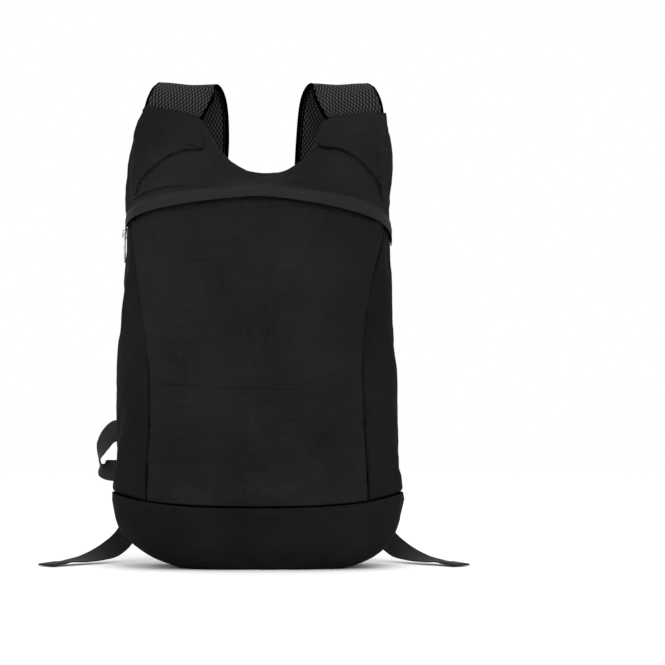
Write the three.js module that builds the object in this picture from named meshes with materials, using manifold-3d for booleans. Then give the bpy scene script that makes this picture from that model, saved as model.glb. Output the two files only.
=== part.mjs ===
// A packable day backpack: thin cloth walls, two mesh shoulder straps, webbing and one zip slider.
// Millimetres, +Z up. The front looks along -Y, and the bag stands on its base at the origin.
import * as THREE from 'three';
import { mergeVertices } from 'three/addons/utils/BufferGeometryUtils.js';
import Module from 'manifold-3d';

const wasm = await Module();
wasm.setup();

// Main sizes of the bag
const bodyWidth = 265;
const frontDepth = 60;
const rearDepth = 46;
const zipHeight = 339;
const neckHeight = 369;
const wingRise = 60;
const wingWidth = 112;
const topShift = 4.6;

// Cloth, seams and the base
const clothThickness = 1.5;
const seamGap = 0.3;
const baseSeamHeight = 56;
const baseSeamRise = 13;
const baseProud = 1.2;
const baseThickness = 2;
const zipDropLeft = 30;
const zipDropRight = 42;
const zipDropPower = 0.8;
const frontRoundness = 3;
const rearTaper = 0.05;
const lidPuff = 7;
const wingPuff = 5;
const rearPuff = 3;
const shoulderRise = 30;

// How the cloth bends, as shares: the lean of the cloth at the zip, how far the lid's puff goes ahead
// and up, where the neck's double edge ends on the wing, and how sharply puffs and the base seam end.
const zipLean = 0.6;
const lidAhead = 0.5;
const lidUp = 0.8;
const neckFold = 0.34;
const puffPower = 6;
const baseSeamPower = 3;

// Rain flap over the zip
const flapWidth = 12;
const flapThickness = 1.2;
const flapStand = 1;
const flapColumn = 0.85;

// Zip slider and puller
const sliderLength = 10;
const sliderWidth = 7;
const sliderThickness = 1.8;
const sliderTurn = -1.06;
const sliderStand = 0.5;
const bridgeWidth = 2;
const bridgeWire = 1.2;
const pullLength = 27;
const pullWidth = 6.4;
const pullTaper = 0.8;
const pullThickness = 1.4;
const pullBar = 1.6;
const pullSlotWidth = 3.4;
const pullSlotLength = 7;
const pullHoleRadius = 1.5;
const pullHoleLength = 6;
const pullClearance = 0.7;

// Shoulder straps
const strapWidth = 58;
const strapThickness = 4.6;
const strapCrest = 451;
const rightStrapSpread = 1.035;
const rightStrapTilt = 0.4;
const strapReach = 98;
const bindingWidth = 6;
const bindingThickness = 6.2;
const bindingGap = 0.8;

// Webbing and its plastic adjusters
const webbingWidth = 20;
const webbingThickness = 1.5;
const webbingReach = 199;
const rightTailReach = 0.965;
const hemShare = 0.07;
const loopReach = 149;
const loopHeight = 125;
const lockWidth = 28;
const lockThickness = 3;
const lockBar = 3;
const lockSlot = 3.6;
const lockSlotWidth = 21.4;
const tabLength = 14;
const tailSpread = 7;
const tailStand = 1;
const anchorStand = 3;
const anchorLength = 18;

// Rows and columns of the faceted surfaces, and the steps along the bands
const wallRows = 16;
const frontColumns = 18;
const sideColumns = 7;
const backColumns = 22;
const baseFrontColumns = 28;
const baseRearColumns = 14;
const yokeRows = 10;
const yokeColumns = 34;
const flapColumns = 32;
const strapSteps = 42;
const tabSteps = 32;
const webbingSteps = 64;
const loopSteps = 24;
const holeSteps = 6;

// Small shares and heights over which a surface's slope is taken
const slopeShare = 0.01;
const slopeHeight = 1;

const halfWidth = bodyWidth / 2;
const pullStand = sliderThickness + pullClearance + pullThickness / 2;
const bridgeOut = pullStand + pullThickness / 2 + pullClearance;
const up = new THREE.Vector3(0, 0, 1);

// Turn counts once round the bag in plan: 0 is the middle of the front, 1 the right side, -1 the left
// side, cornerTurn the rear corner and fullTurn the middle of the back.
const cornerTurn = 1.4;
const fullTurn = 2;
const turnLength = 155;

// Share of the back wall's height, as v, that lies below the shoulders
const shoulderPlace = 0.7;
const rearLimit = cornerTurn - ((clothThickness + seamGap) / rearDepth) * (cornerTurn - 1);

// Half widths, depths and side seams by height, as shares of zipHeight, halfWidth and the two depths.
const wallSections = [
  { height: 0.1, left: 0.99, right: 0.995, front: 0.95, rear: 0.95, leftSeam: 0.75, rightSeam: 0.745 },
  { height: 0.19, left: 1.003, right: 1.005, front: 1, rear: 1, leftSeam: 0.752, rightSeam: 0.747 },
  { height: 0.31, left: 0.985, right: 0.985, front: 1.03, rear: 1, leftSeam: 0.75, rightSeam: 0.745 },
  { height: 0.48, left: 0.973, right: 0.965, front: 1.03, rear: 0.98, leftSeam: 0.747, rightSeam: 0.737 },
  { height: 0.63, left: 0.952, right: 0.945, front: 0.99, rear: 0.96, leftSeam: 0.8, rightSeam: 0.755 },
  { height: 0.79, left: 0.918, right: 0.925, front: 0.91, rear: 0.95, leftSeam: 0.893, rightSeam: 0.838 },
  { height: 0.92, left: 0.897, right: 0.912, front: 0.81, rear: 0.94, leftSeam: 0.96, rightSeam: 0.93 },
  { height: 1.03, left: 0.905, right: 0.928, front: 0.74, rear: 0.94, leftSeam: 0.985, rightSeam: 0.98 },
];

// How far the base reaches at each height, as shares of the base seam's height and of its ring, and
// how far it sags to the right, as a share of halfWidth.
const baseSections = [
  { height: 1, reach: 1, depth: 1, sag: 0 },
  { height: 0.62, reach: 0.985, depth: 0.985, sag: 0.002 },
  { height: 0.36, reach: 0.92, depth: 0.93, sag: 0.014 },
  { height: 0.19, reach: 0.8, depth: 0.83, sag: 0.036 },
  { height: 0.07, reach: 0.63, depth: 0.7, sag: 0.05 },
  { height: 0, reach: 0.45, depth: 0.54, sag: 0.045 },
];

// The outer edge of a wing above the zip, as shares of wingWidth and of the rise from zip to wing top.
const edgeSections = [
  { height: -0.6, reach: 1.05 },
  { height: -0.2, reach: 1.045 },
  { height: 0.13, reach: 1.1 },
  { height: 0.47, reach: 1.118 },
  { height: 0.8, reach: 1.095 },
  { height: 0.96, reach: 1.062 },
  { height: 1.04, reach: 1.02 },
];

// The top edge from the middle of the neck to the outer corner of the wing, as shares of wingWidth
// and wingRise.
const topSections = [
  { along: 0, leftReach: 0, rightReach: 0, leftRise: 0, rightRise: 0 },
  { along: 0.12, leftReach: 0.1, rightReach: 0.17, leftRise: 0.035, rightRise: 0.008 },
  { along: 0.24, leftReach: 0.225, rightReach: 0.29, leftRise: 0.165, rightRise: 0.065 },
  { along: 0.36, leftReach: 0.33, rightReach: 0.385, leftRise: 0.34, rightRise: 0.22 },
  { along: 0.48, leftReach: 0.44, rightReach: 0.465, leftRise: 0.65, rightRise: 0.57 },
  { along: 0.6, leftReach: 0.5, rightReach: 0.525, leftRise: 0.86, rightRise: 0.87 },
  { along: 0.72, leftReach: 0.65, rightReach: 0.68, leftRise: 0.94, rightRise: 0.91 },
  { along: 0.86, leftReach: 0.81, rightReach: 0.86, leftRise: 1.02, rightRise: 0.95 },
  { along: 1, leftReach: 0.99, rightReach: 1.045, leftRise: 1.06, rightRise: 0.94 },
];

// The folded yoke from its middle to its rear corner: where each line of cloth leaves the zip (as a
// turn), where it folds (as shares of the wing edge, rearDepth and wingRise), where it ends, and its
// share of lidPuff.
const yokeSections = [
  { column: 0, zipTurn: 0, foldReach: 0, foldBack: 0, foldRise: -0.2, along: 0, puff: 0.2 },
  { column: 0.13, zipTurn: 0.2, foldReach: 0.17, foldBack: 0.05, foldRise: -0.14, along: 0.16, puff: 0.3 },
  { column: 0.27, zipTurn: 0.34, foldReach: 0.34, foldBack: 0.4, foldRise: 0.18, along: 0.34, puff: 0.75 },
  { column: 0.4, zipTurn: 0.44, foldReach: 0.46, foldBack: 0.36, foldRise: 0.31, along: 0.54, puff: 1 },
  { column: 0.53, zipTurn: 0.54, foldReach: 0.65, foldBack: 0.3, foldRise: 0.13, along: 0.69, puff: 0.98 },
  { column: 0.66, zipTurn: 0.66, foldReach: 0.82, foldBack: 0.2, foldRise: -0.13, along: 0.82, puff: 0.92 },
  { column: 0.79, zipTurn: 0.83, foldReach: 0.95, foldBack: 0.16, foldRise: -0.4, along: 0.92, puff: 0.76 },
  { column: 0.9, zipTurn: 1.1, foldReach: 1, foldBack: 0.5, foldRise: -0.42, along: 0.97, puff: 0.47 },
  { column: 1, zipTurn: cornerTurn, foldReach: 1, foldBack: 1, foldRise: -0.35, along: 1, puff: 0 },
];

// The right shoulder strap's middle line from the wing seam, over the top and down behind the bag, as
// shares of wingWidth, strapReach, strapCrest and strapWidth. Tilt is the slope of its width.
const strapSections = [
  { out: 0.775, back: 0.507, height: 0.927, width: 0.93, tilt: 0.12 },
  { out: 0.745, back: 0.509, height: 0.955, width: 0.98, tilt: 0.12 },
  { out: 0.69, back: 0.54, height: 0.98, width: 1.01, tilt: 0.1 },
  { out: 0.635, back: 0.64, height: 1, width: 1.02, tilt: 0.08 },
  { out: 0.575, back: 0.77, height: 0.98, width: 1.03, tilt: 0.04 },
  { out: 0.545, back: 0.86, height: 0.9, width: 1.03, tilt: 0 },
  { out: 0.56, back: 0.95, height: 0.78, width: 1, tilt: 0 },
  { out: 0.64, back: 1, height: 0.63, width: 0.95, tilt: 0 },
  { out: 0.75, back: 0.98, height: 0.48, width: 0.88, tilt: 0 },
  { out: 0.85, back: 0.86, height: 0.34, width: 0.8, tilt: 0 },
  { out: 0.89, back: 0.79, height: 0.285, width: 0.72, tilt: 0 },
];

// The webbing's free end, as shares of webbingReach, rearDepth and baseSeamHeight, with the direction
// of its width.
const tailSections = [
  { out: 0.51, back: 1.72, height: 1.55, across: [1, 0, 0] },
  { out: 0.57, back: 1.7, height: 0.95, across: [0.9, 0, 0.3] },
  { out: 0.64, back: 1.35, height: 0.42, across: [0.72, 0, 0.69] },
  { out: 0.695, back: 1.1, height: 0.235, across: [0.72, 0.2, 0.64] },
  { out: 0.75, back: 0.86, height: 0.145, across: [0.55, 0.6, 0.42] },
  { out: 0.815, back: 0.58, height: 0.085, across: [0.4, 0.88, 0.2] },
  { out: 0.885, back: 0.32, height: 0.062, across: [0.4, 0.9, 0] },
  { out: 0.935, back: 0.1, height: 0.05, across: [0.5, 0.8, 0] },
  { out: 0.975, back: -0.12, height: 0.036, across: [0.6, 0.7, 0] },
];

// The side loop, as shares of loopReach, rearDepth and loopHeight, with the direction of its width.
const loopSections = [
  { out: 0.85, back: 0.86, height: 1, across: [0, 0, 1] },
  { out: 0.9, back: 0.9, height: 1, across: [0.1, 0.1, 1] },
  { out: 0.945, back: 0.95, height: 0.96, across: [0.5, 0.5, 0.7] },
  { out: 0.98, back: 0.95, height: 0.89, across: [0.7, 0.7, 0.1] },
  { out: 0.995, back: 0.94, height: 0.82, across: [0.35, 0.94, 0] },
  { out: 1, back: 0.92, height: 0.765, across: [0, 0.97, -0.25] },
  { out: 0.985, back: 0.9, height: 0.715, across: [0, 0.5, -0.87] },
  { out: 0.925, back: 0.88, height: 0.7, across: [0, 0.05, -1] },
  { out: 0.85, back: 0.86, height: 0.7, across: [0, 0, -1] },
];

// Smooth value of one table column at a place along the table's key column
function column(table, key, name) {
  const keys = table.map((row) => row[key]);
  const values = table.map((row) => row[name]);
  const curve = new THREE.CubicInterpolant(keys, values, 1, [0]);
  return (at) => curve.evaluate(THREE.MathUtils.clamp(at, keys[0], keys[keys.length - 1]))[0];
}

function columns(table, key, names) {
  return Object.fromEntries(names.map((name) => [name, column(table, key, name)]));
}

const wall = columns(wallSections, 'height', ['left', 'right', 'front', 'rear', 'leftSeam', 'rightSeam']);
const base = columns(baseSections.toReversed(), 'height', ['reach', 'depth', 'sag']);
const edgeReach = column(edgeSections, 'height', 'reach');
const topEdge = columns(topSections, 'along', ['leftReach', 'rightReach', 'leftRise', 'rightRise']);
const yokeNames = ['zipTurn', 'foldReach', 'foldBack', 'foldRise', 'along', 'puff'];
const yoke = columns(yokeSections, 'column', yokeNames);

const mix = THREE.MathUtils.lerp;
const sideOf = (value) => (value < 0 ? -1 : 1);

// Sideways lean of the top of the bag, which the slack cloth takes above the zip
function lean(height) {
  return topShift * THREE.MathUtils.smoothstep(height, zipHeight, neckHeight + wingRise);
}

function halfWidthAt(side, height) {
  const share = height / zipHeight;
  return halfWidth * (side < 0 ? wall.left(share) : wall.right(share));
}

// Outer skin of the front and sides at one turn and height
function skinPoint(turn, height) {
  const side = sideOf(turn);
  const share = height / zipHeight;
  const width = halfWidthAt(side, height);
  const depth = frontDepth * wall.front(share);
  const around = Math.abs(turn);
  if (around <= 1) {
    const angle = (around * Math.PI) / 2;
    const across = Math.sin(angle);
    const ahead = Math.cos(angle);
    const size = (across ** frontRoundness + ahead ** frontRoundness) ** (-1 / frontRoundness);
    return new THREE.Vector3(side * width * size * across, -depth * size * ahead, height);
  }
  const rearShare = Math.min(1, (around - 1) / (cornerTurn - 1));
  const corner = width * (1 - rearTaper * rearShare ** 2);
  const rear = rearDepth * wall.rear(share);
  if (around <= cornerTurn) {
    return new THREE.Vector3(side * corner, rear * rearShare, height);
  }
  const inward = (fullTurn - around) / (fullTurn - cornerTurn);
  return new THREE.Vector3(side * corner * inward, rear + rearPuff * (1 - inward ** 2), height);
}

function skinNormal(turn, height) {
  const limit = Math.abs(turn) <= cornerTurn ? cornerTurn : fullTurn;
  const ahead = skinPoint(Math.min(turn + slopeShare, limit), height);
  const behind = skinPoint(Math.max(turn - slopeShare, -limit), height);
  const along = ahead.sub(behind);
  const climb = skinPoint(turn, height + slopeHeight).sub(skinPoint(turn, height - slopeHeight));
  return along.cross(climb).normalize();
}

// Heights of the base seam and of the zip line round the bag
function baseSeam(turn) {
  const reach = Math.min(1, Math.abs(skinPoint(turn, baseSeamHeight).x) / halfWidth);
  return baseSeamHeight + baseSeamRise * reach ** baseSeamPower;
}

function zipLine(turn) {
  const around = Math.min(Math.abs(turn), cornerTurn);
  const drop = turn < 0 ? zipDropLeft : zipDropRight;
  return zipHeight - drop * (1 - Math.cos((around * Math.PI) / 2)) ** zipDropPower;
}

// Turn at which the seam between front and side panel lies
function panelSeam(side, height) {
  const share = height / zipHeight;
  const across = side < 0 ? wall.leftSeam(share) : wall.rightSeam(share);
  const ahead = (1 - across ** frontRoundness) ** (1 / frontRoundness);
  return (side * Math.atan2(across, ahead) * 2) / Math.PI;
}

// Cloth at the zip folds over from the upright wall to the yoke, so both share one leaning normal
function zipNormal(turn) {
  return skinNormal(turn, zipLine(turn)).addScaledVector(up, zipLean).normalize();
}

// Solid between two grids of points with the same rows and columns. A ring closes on itself, and a
// capped ring is also closed over its last row.
function solidBetween(outer, inner, { ring = false, capped = false } = {}) {
  const rows = outer.length;
  const across = outer[0].length;
  const points = [...outer.flat(), ...inner.flat()];
  const triangles = [];
  const outerAt = (row, place) => row * across + (place % across);
  const innerAt = (row, place) => rows * across + outerAt(row, place);
  const quad = (a, b, c, d) => triangles.push([a, b, c], [a, c, d]);
  const spans = ring ? across : across - 1;
  for (let place = 0; place < spans; place += 1) {
    for (let row = 0; row < rows - 1; row += 1) {
      const [next, above] = [place + 1, row + 1];
      quad(outerAt(row, place), outerAt(row, next), outerAt(above, next), outerAt(above, place));
      quad(innerAt(row, place), innerAt(above, place), innerAt(above, next), innerAt(row, next));
    }
    quad(innerAt(0, place), innerAt(0, place + 1), outerAt(0, place + 1), outerAt(0, place));
    if (!capped) {
      const last = rows - 1;
      quad(outerAt(last, place), outerAt(last, place + 1), innerAt(last, place + 1), innerAt(last, place));
    }
  }
  if (!ring) {
    const last = across - 1;
    for (let row = 0; row < rows - 1; row += 1) {
      quad(outerAt(row, 0), outerAt(row + 1, 0), innerAt(row + 1, 0), innerAt(row, 0));
      quad(innerAt(row, last), innerAt(row + 1, last), outerAt(row + 1, last), outerAt(row, last));
    }
  }
  if (capped) {
    capRing(points, triangles, outer, outerAt, false);
    capRing(points, triangles, inner, innerAt, true);
  }
  return closedGeometry(points, triangles);
}

function capRing(points, triangles, grid, at, reversed) {
  const last = grid.length - 1;
  const centre = new THREE.Vector3();
  grid[last].forEach((point) => centre.add(point));
  const centreAt = points.push(centre.divideScalar(grid[last].length)) - 1;
  for (let place = 0; place < grid[last].length; place += 1) {
    const pair = [at(last, place), at(last, place + 1)];
    triangles.push(reversed ? [centreAt, pair[1], pair[0]] : [centreAt, ...pair]);
  }
}

// Indexed geometry with its faces turned outwards
function closedGeometry(points, triangles) {
  const volume = triangles.reduce((sum, [a, b, c]) => {
    const cross = points[b].clone().cross(points[c]);
    return sum + points[a].dot(cross);
  }, 0);
  const faces = volume < 0 ? triangles.map(([a, b, c]) => [a, c, b]) : triangles;
  const geometry = new THREE.BufferGeometry();
  geometry.setAttribute('position', new THREE.Float32BufferAttribute(points.flatMap((p) => p.toArray()), 3));
  geometry.setIndex(faces.flat());
  geometry.computeVertexNormals();
  return geometry;
}

function grid(rows, across, pointAt) {
  return Array.from({ length: rows + 1 }, (_, row) =>
    Array.from({ length: across + 1 }, (__, place) => pointAt(row / rows, place / across)));
}

// Cloth patch: outer face from pointAt and inner face one thickness along normalAt
function clothPatch(rows, across, pointAt, normalAt, thickness = clothThickness, options = {}) {
  const outer = grid(rows, across, pointAt);
  const inner = grid(rows, across, (v, u) => pointAt(v, u).addScaledVector(normalAt(v, u), -thickness));
  return solidBetween(outer, inner, options);
}

const panelTop = (turn) => zipLine(turn) - seamGap;
const panelBottom = (turn) => baseSeam(turn) + seamGap;

// A wall panel of the front or side, between two turns that may vary with height
function wallPanel(rows, across, firstTurn, lastTurn) {
  const place = (v, u) => {
    const guess = mix(baseSeamHeight, zipHeight, v);
    const turn = mix(firstTurn(guess), lastTurn(guess), u);
    return { turn, height: mix(panelBottom(turn), panelTop(turn), v) };
  };
  const pointAt = (v, u) => skinPoint(place(v, u).turn, place(v, u).height);
  const normalAt = (v, u) => {
    const { turn, height } = place(v, u);
    return v === 1 ? zipNormal(turn) : skinNormal(turn, height);
  };
  return clothPatch(rows, across, pointAt, normalAt);
}

function frontPanel() {
  const trim = seamGap / turnLength;
  const leftSeam = (height) => panelSeam(-1, height) + trim;
  const rightSeam = (height) => panelSeam(1, height) - trim;
  return wallPanel(wallRows, frontColumns, leftSeam, rightSeam);
}

function sidePanel(side) {
  const trim = seamGap / turnLength;
  const seam = (height) => panelSeam(side, height) + side * trim;
  return wallPanel(wallRows, sideColumns, seam, () => side * rearLimit);
}

// The base: a tub whose top rim stands just proud of the walls and whose bottom is flat
function basePoint(share, turn, proud) {
  const seam = baseSeam(turn) - seamGap;
  const rim = skinPoint(turn, seam);
  rim.addScaledVector(skinNormal(turn, seam), proud);
  const x = rim.x * base.reach(share) + halfWidth * base.sag(share);
  return new THREE.Vector3(x, rim.y * base.depth(share), seam * share);
}

function basePanel() {
  const turns = ringTurns();
  const outer = baseSections.map(({ height }) => turns.map((turn) => basePoint(height, turn, baseProud)));
  const inner = baseSections.map(({ height }) => turns.map((turn) => {
    const point = basePoint(height, turn, baseProud - baseThickness);
    const lift = 1 - height;
    point.z += baseThickness * lift;
    return point;
  }));
  return solidBetween(outer, inner, { ring: true, capped: true });
}

// Turns of the columns of a whole ring, with a column on each rear corner
function ringTurns() {
  const front = Array.from({ length: baseFrontColumns }, (_, i) =>
    mix(-cornerTurn, cornerTurn, i / baseFrontColumns));
  const rear = Array.from({ length: baseRearColumns }, (_, i) => {
    const turn = mix(cornerTurn, 2 * fullTurn - cornerTurn, i / baseRearColumns);
    return turn > fullTurn ? turn - 2 * fullTurn : turn;
  });
  return [...front, ...rear];
}

// Half width of the back at a height, up to the top of the wings
function edgeAt(side, height) {
  const corner = 1 - rearTaper;
  const wallEdge = halfWidthAt(side, Math.min(height, zipHeight)) * corner;
  const share = (height - zipHeight) / (neckHeight + wingRise - zipHeight);
  const wingEdge = wingWidth * edgeReach(share);
  const blend = THREE.MathUtils.smoothstep(height, zipLine(side * cornerTurn), zipHeight);
  return mix(wallEdge, wingEdge, blend);
}

// A point of the top edge: along runs from -1 at the left wing to 1 at the right wing
function topPoint(along) {
  const side = sideOf(along);
  const at = Math.abs(along);
  const rise = side < 0 ? topEdge.leftRise(at) : topEdge.rightRise(at);
  const reach = side < 0 ? topEdge.leftReach(at) : topEdge.rightReach(at);
  return new THREE.Vector3(side * wingWidth * reach, 0, neckHeight + wingRise * rise);
}

function backDepthAt(across, height) {
  const share = Math.min(height / zipHeight, 1);
  return rearDepth * wall.rear(share) + rearPuff * (1 - Math.min(1, across ** 2));
}

// A point of the back wall: v runs from the base seam to the top edge, u from left to right
function backPoint(v, u) {
  const across = 2 * u - 1;
  const side = sideOf(across);
  const bottom = baseSeam(fullTurn - Math.abs(across) * (fullTurn - cornerTurn)) + seamGap;
  const top = topPoint(across);
  const shoulder = zipLine(side * cornerTurn) + shoulderRise;
  const upper = Math.max(0, (v - shoulderPlace) / (1 - shoulderPlace));
  const height = v < shoulderPlace ? mix(bottom, shoulder, v / shoulderPlace) : mix(shoulder, top.z, upper);
  const topShare = Math.abs(top.x) / edgeAt(side, top.z);
  const share = mix(Math.abs(across), topShare, upper);
  const x = side * share * edgeAt(side, height) + lean(height);
  return new THREE.Vector3(x, backDepthAt(share, height), height);
}

function backPanel() {
  const normal = new THREE.Vector3(0, 1, 0);
  return clothPatch(wallRows, backColumns, backPoint, () => normal);
}

// A point of the yoke: v runs from the zip (0) by the fold (foldPlace) to the top edge (1)
const foldPlace = 0.5;

function zipTurnAt(across) {
  return sideOf(across) * Math.min(yoke.zipTurn(Math.abs(across)), rearLimit);
}

function yokeLines(u) {
  const across = 2 * u - 1;
  const side = sideOf(across);
  const at = Math.abs(across);
  const zipTurn = zipTurnAt(across);
  const zip = skinPoint(zipTurn, zipLine(zipTurn) + seamGap);
  const foldHeight = neckHeight + wingRise * yoke.foldRise(at);
  const foldShare = yoke.foldReach(at);
  const top = topPoint(side * yoke.along(at));
  const topShare = Math.abs(top.x) / edgeAt(side, top.z);
  const behind = clothThickness + seamGap;
  const wingShare = Math.min(1, Math.abs(top.x) / (wingWidth * neckFold));
  const topBack = backDepthAt(topShare, top.z) - behind - clothThickness * wingShare;
  const foldBack = Math.min(rearDepth * yoke.foldBack(at), backDepthAt(foldShare, foldHeight) - behind);
  return { side, at, zip, foldHeight, foldShare, foldBack, top, topShare, topBack };
}

function yokePoint(v, u) {
  const { side, at, zip, foldHeight, foldShare, foldBack, top, topShare, topBack } = yokeLines(u);
  if (v <= foldPlace) {
    const share = v / foldPlace;
    const puff = lidPuff * Math.sin(Math.PI * share) * yoke.puff(at);
    const height = mix(zip.z, foldHeight, share);
    const foldX = side * foldShare * edgeAt(side, foldHeight) + lean(foldHeight);
    const x = mix(zip.x, foldX, share);
    return new THREE.Vector3(x, mix(zip.y, foldBack, share) - puff * lidAhead, height + puff * lidUp);
  }
  const share = (v - foldPlace) / (1 - foldPlace);
  const height = mix(foldHeight, top.z, share);
  const reach = mix(foldShare, topShare, share);
  const puff = wingPuff * Math.sin(Math.PI * share) * (1 - at ** puffPower);
  const x = side * reach * edgeAt(side, height) + lean(height);
  return new THREE.Vector3(x, mix(foldBack, topBack, share) - puff, height);
}

function yokeNormal(v, u) {
  if (v === 0) {
    return zipNormal(zipTurnAt(2 * u - 1));
  }
  const along = yokePoint(v, Math.min(1, u + slopeShare)).sub(yokePoint(v, Math.max(0, u - slopeShare)));
  const climb = yokePoint(Math.min(1, v + slopeShare), u).sub(yokePoint(Math.max(0, v - slopeShare), u));
  return along.cross(climb).normalize();
}

function yokePanel() {
  return clothPatch(yokeRows, yokeColumns, yokePoint, yokeNormal);
}

// Rain flap: a narrow band over the zip, its upper half on the yoke and its lower half on the walls
function flapPlace(v, u) {
  const across = mix(-flapColumn, flapColumn, u);
  const yokeColumn = (1 + across) / 2;
  const { zip, foldHeight, foldBack } = yokeLines(yokeColumn);
  const turn = zipTurnAt(across);
  if (v < 0.5) {
    const lidLength = Math.hypot(foldHeight - zip.z, foldBack - zip.y);
    const climb = foldPlace * (flapWidth / lidLength) * (0.5 - v);
    return { point: yokePoint(climb, yokeColumn), normal: yokeNormal(climb, yokeColumn) };
  }
  const height = zipLine(turn) - flapWidth * (v - 0.5);
  const normal = v === 0.5 ? zipNormal(turn) : skinNormal(turn, height);
  return { point: skinPoint(turn, height), normal };
}

function zipFlap() {
  const pointAt = (v, u) => {
    const { point, normal } = flapPlace(v, u);
    return point.addScaledVector(normal, flapStand + flapThickness);
  };
  return clothPatch(2, flapColumns, pointAt, (v, u) => flapPlace(v, u).normal, flapThickness);
}

// A flat band along a curve. Each station has its middle point, the direction of its width, its width
// and its thickness, and offset moves a band sideways in its own plane.
function bandFrames(stations, steps) {
  const path = new THREE.CatmullRomCurve3(stations.map(({ point }) => point), false, 'centripetal');
  const keys = stations.map((_, index) => index);
  const smooth = (rows) => new THREE.LinearInterpolant(keys, rows.flat(), rows[0].length);
  const across = smooth(stations.map((station) => station.across));
  const width = smooth(stations.map((station) => [station.width]));
  return Array.from({ length: steps + 1 }, (_, step) => {
    const share = step / steps;
    const place = share * (stations.length - 1);
    const tangent = path.getTangent(share);
    const sideways = new THREE.Vector3().fromArray(across.evaluate(place));
    sideways.addScaledVector(tangent, -sideways.dot(tangent)).normalize();
    const normal = new THREE.Vector3().crossVectors(sideways, tangent);
    return { point: path.getPoint(share), sideways, normal, width: width.evaluate(place)[0] };
  });
}

function band(frames, { from, to, thickness, parts = 1 }) {
  const face = (raise) => frames.map((frame, index) =>
    Array.from({ length: parts + 1 }, (_, part) => {
      const place = mix(from(frame.width), to(frame.width), part / parts);
      const height = (raise * thickness(index / (frames.length - 1))) / 2;
      return frame.point.clone().addScaledVector(frame.sideways, place).addScaledVector(frame.normal, height);
    }));
  return solidBetween(face(1), face(-1));
}

const mirrored = (side, x, y, z) => new THREE.Vector3(side * x, y, z);

// Shoulder strap of one side, as frames along its middle line
function strapFrames(side) {
  const spread = side < 0 ? 1 : rightStrapSpread;
  const slope = side < 0 ? 1 : rightStrapTilt;
  const stations = strapSections.map(({ out, back, height, width, tilt }) => {
    const level = strapCrest * height;
    const point = mirrored(side, wingWidth * out * spread, strapReach * back, level);
    point.x += lean(level);
    return { point, across: [1, 0, side * tilt * slope], width: strapWidth * width };
  });
  return bandFrames(stations, strapSteps);
}

function strapPad(side) {
  const edge = (width) => width / 2 - bindingWidth - bindingGap;
  const shape = { from: (width) => -edge(width), to: edge, thickness: () => strapThickness, parts: 2 };
  return band(strapFrames(side), shape);
}

function strapBinding(side, edgeSide) {
  const inside = (width) => edgeSide * (width / 2 - bindingWidth);
  const outside = (width) => (edgeSide * width) / 2;
  return band(strapFrames(side), { from: inside, to: outside, thickness: () => bindingThickness });
}

// Frame of the adjuster at the lower end of a strap: down follows the strap, out is its outer face
function lockFrame(side) {
  const frames = strapFrames(side);
  const end = frames[frames.length - 1];
  const before = frames[frames.length - 2];
  const down = end.point.clone().sub(before.point).normalize();
  const sideways = end.sideways.clone().addScaledVector(down, -end.sideways.dot(down)).normalize();
  const outwards = new THREE.Vector3().crossVectors(sideways, down).normalize();
  if (outwards.y < 0) {
    outwards.negate();
  }
  return { origin: end.point, down, sideways, outwards };
}

const wrapRadius = Math.hypot(lockThickness, lockBar) / 2 + seamGap + webbingThickness / 2;
const tabOffset = Math.max(wrapRadius, strapThickness / 2 + seamGap + webbingThickness / 2);
const firstBar = seamGap + wrapRadius;
const barPitch = lockBar + lockSlot;

function lockPoint(frame, down, outwards) {
  return frame.origin.clone().addScaledVector(frame.down, down).addScaledVector(frame.outwards, outwards);
}

function ladderLock(side) {
  const frame = lockFrame(side);
  const length = 2 * barPitch + lockBar;
  const outline = new THREE.Shape();
  outline.moveTo(-lockWidth / 2, 0).lineTo(lockWidth / 2, 0);
  outline.lineTo(lockWidth / 2, length).lineTo(-lockWidth / 2, length).closePath();
  for (const start of [lockBar, lockBar + barPitch]) {
    const slot = new THREE.Path();
    slot.moveTo(-lockSlotWidth / 2, start).lineTo(-lockSlotWidth / 2, start + lockSlot);
    slot.lineTo(lockSlotWidth / 2, start + lockSlot).lineTo(lockSlotWidth / 2, start).closePath();
    outline.holes.push(slot);
  }
  const geometry = new THREE.ExtrudeGeometry(outline, { depth: lockThickness, bevelEnabled: false });
  geometry.translate(0, firstBar - lockBar / 2, -lockThickness / 2);
  const turn = new THREE.Matrix4().makeBasis(frame.sideways, frame.down, frame.outwards);
  if (turn.determinant() < 0) {
    turn.makeBasis(frame.sideways.clone().negate(), frame.down, frame.outwards);
  }
  return geometry.applyMatrix4(turn.setPosition(frame.origin));
}

// Half circle of webbing round a bar, from the bag side over or under it to the outer side
function wrapPoints(frame, bar, radius, over) {
  return [0, 0.25, 0.5, 0.75, 1].map((share) => {
    const angle = Math.PI * share;
    const down = bar + over * radius * Math.sin(angle);
    return lockPoint(frame, down, -radius * Math.cos(angle));
  });
}

function lockTab(side) {
  const frame = lockFrame(side);
  const points = [
    lockPoint(frame, -tabLength, -tabOffset),
    lockPoint(frame, -tabLength / 2, -tabOffset),
    ...wrapPoints(frame, firstBar, tabOffset, 1),
    lockPoint(frame, -tabLength / 2, tabOffset),
    lockPoint(frame, -tabLength, tabOffset),
  ];
  return webbingBand(points.map((point) => ({ point, across: frame.sideways.toArray() })), tabSteps);
}

function webbingBand(stations, steps, thickness = () => webbingThickness) {
  const frames = bandFrames(stations.map((station) => ({ ...station, width: webbingWidth })), steps);
  return band(frames, { from: (width) => -width / 2, to: (width) => width / 2, thickness });
}

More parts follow.
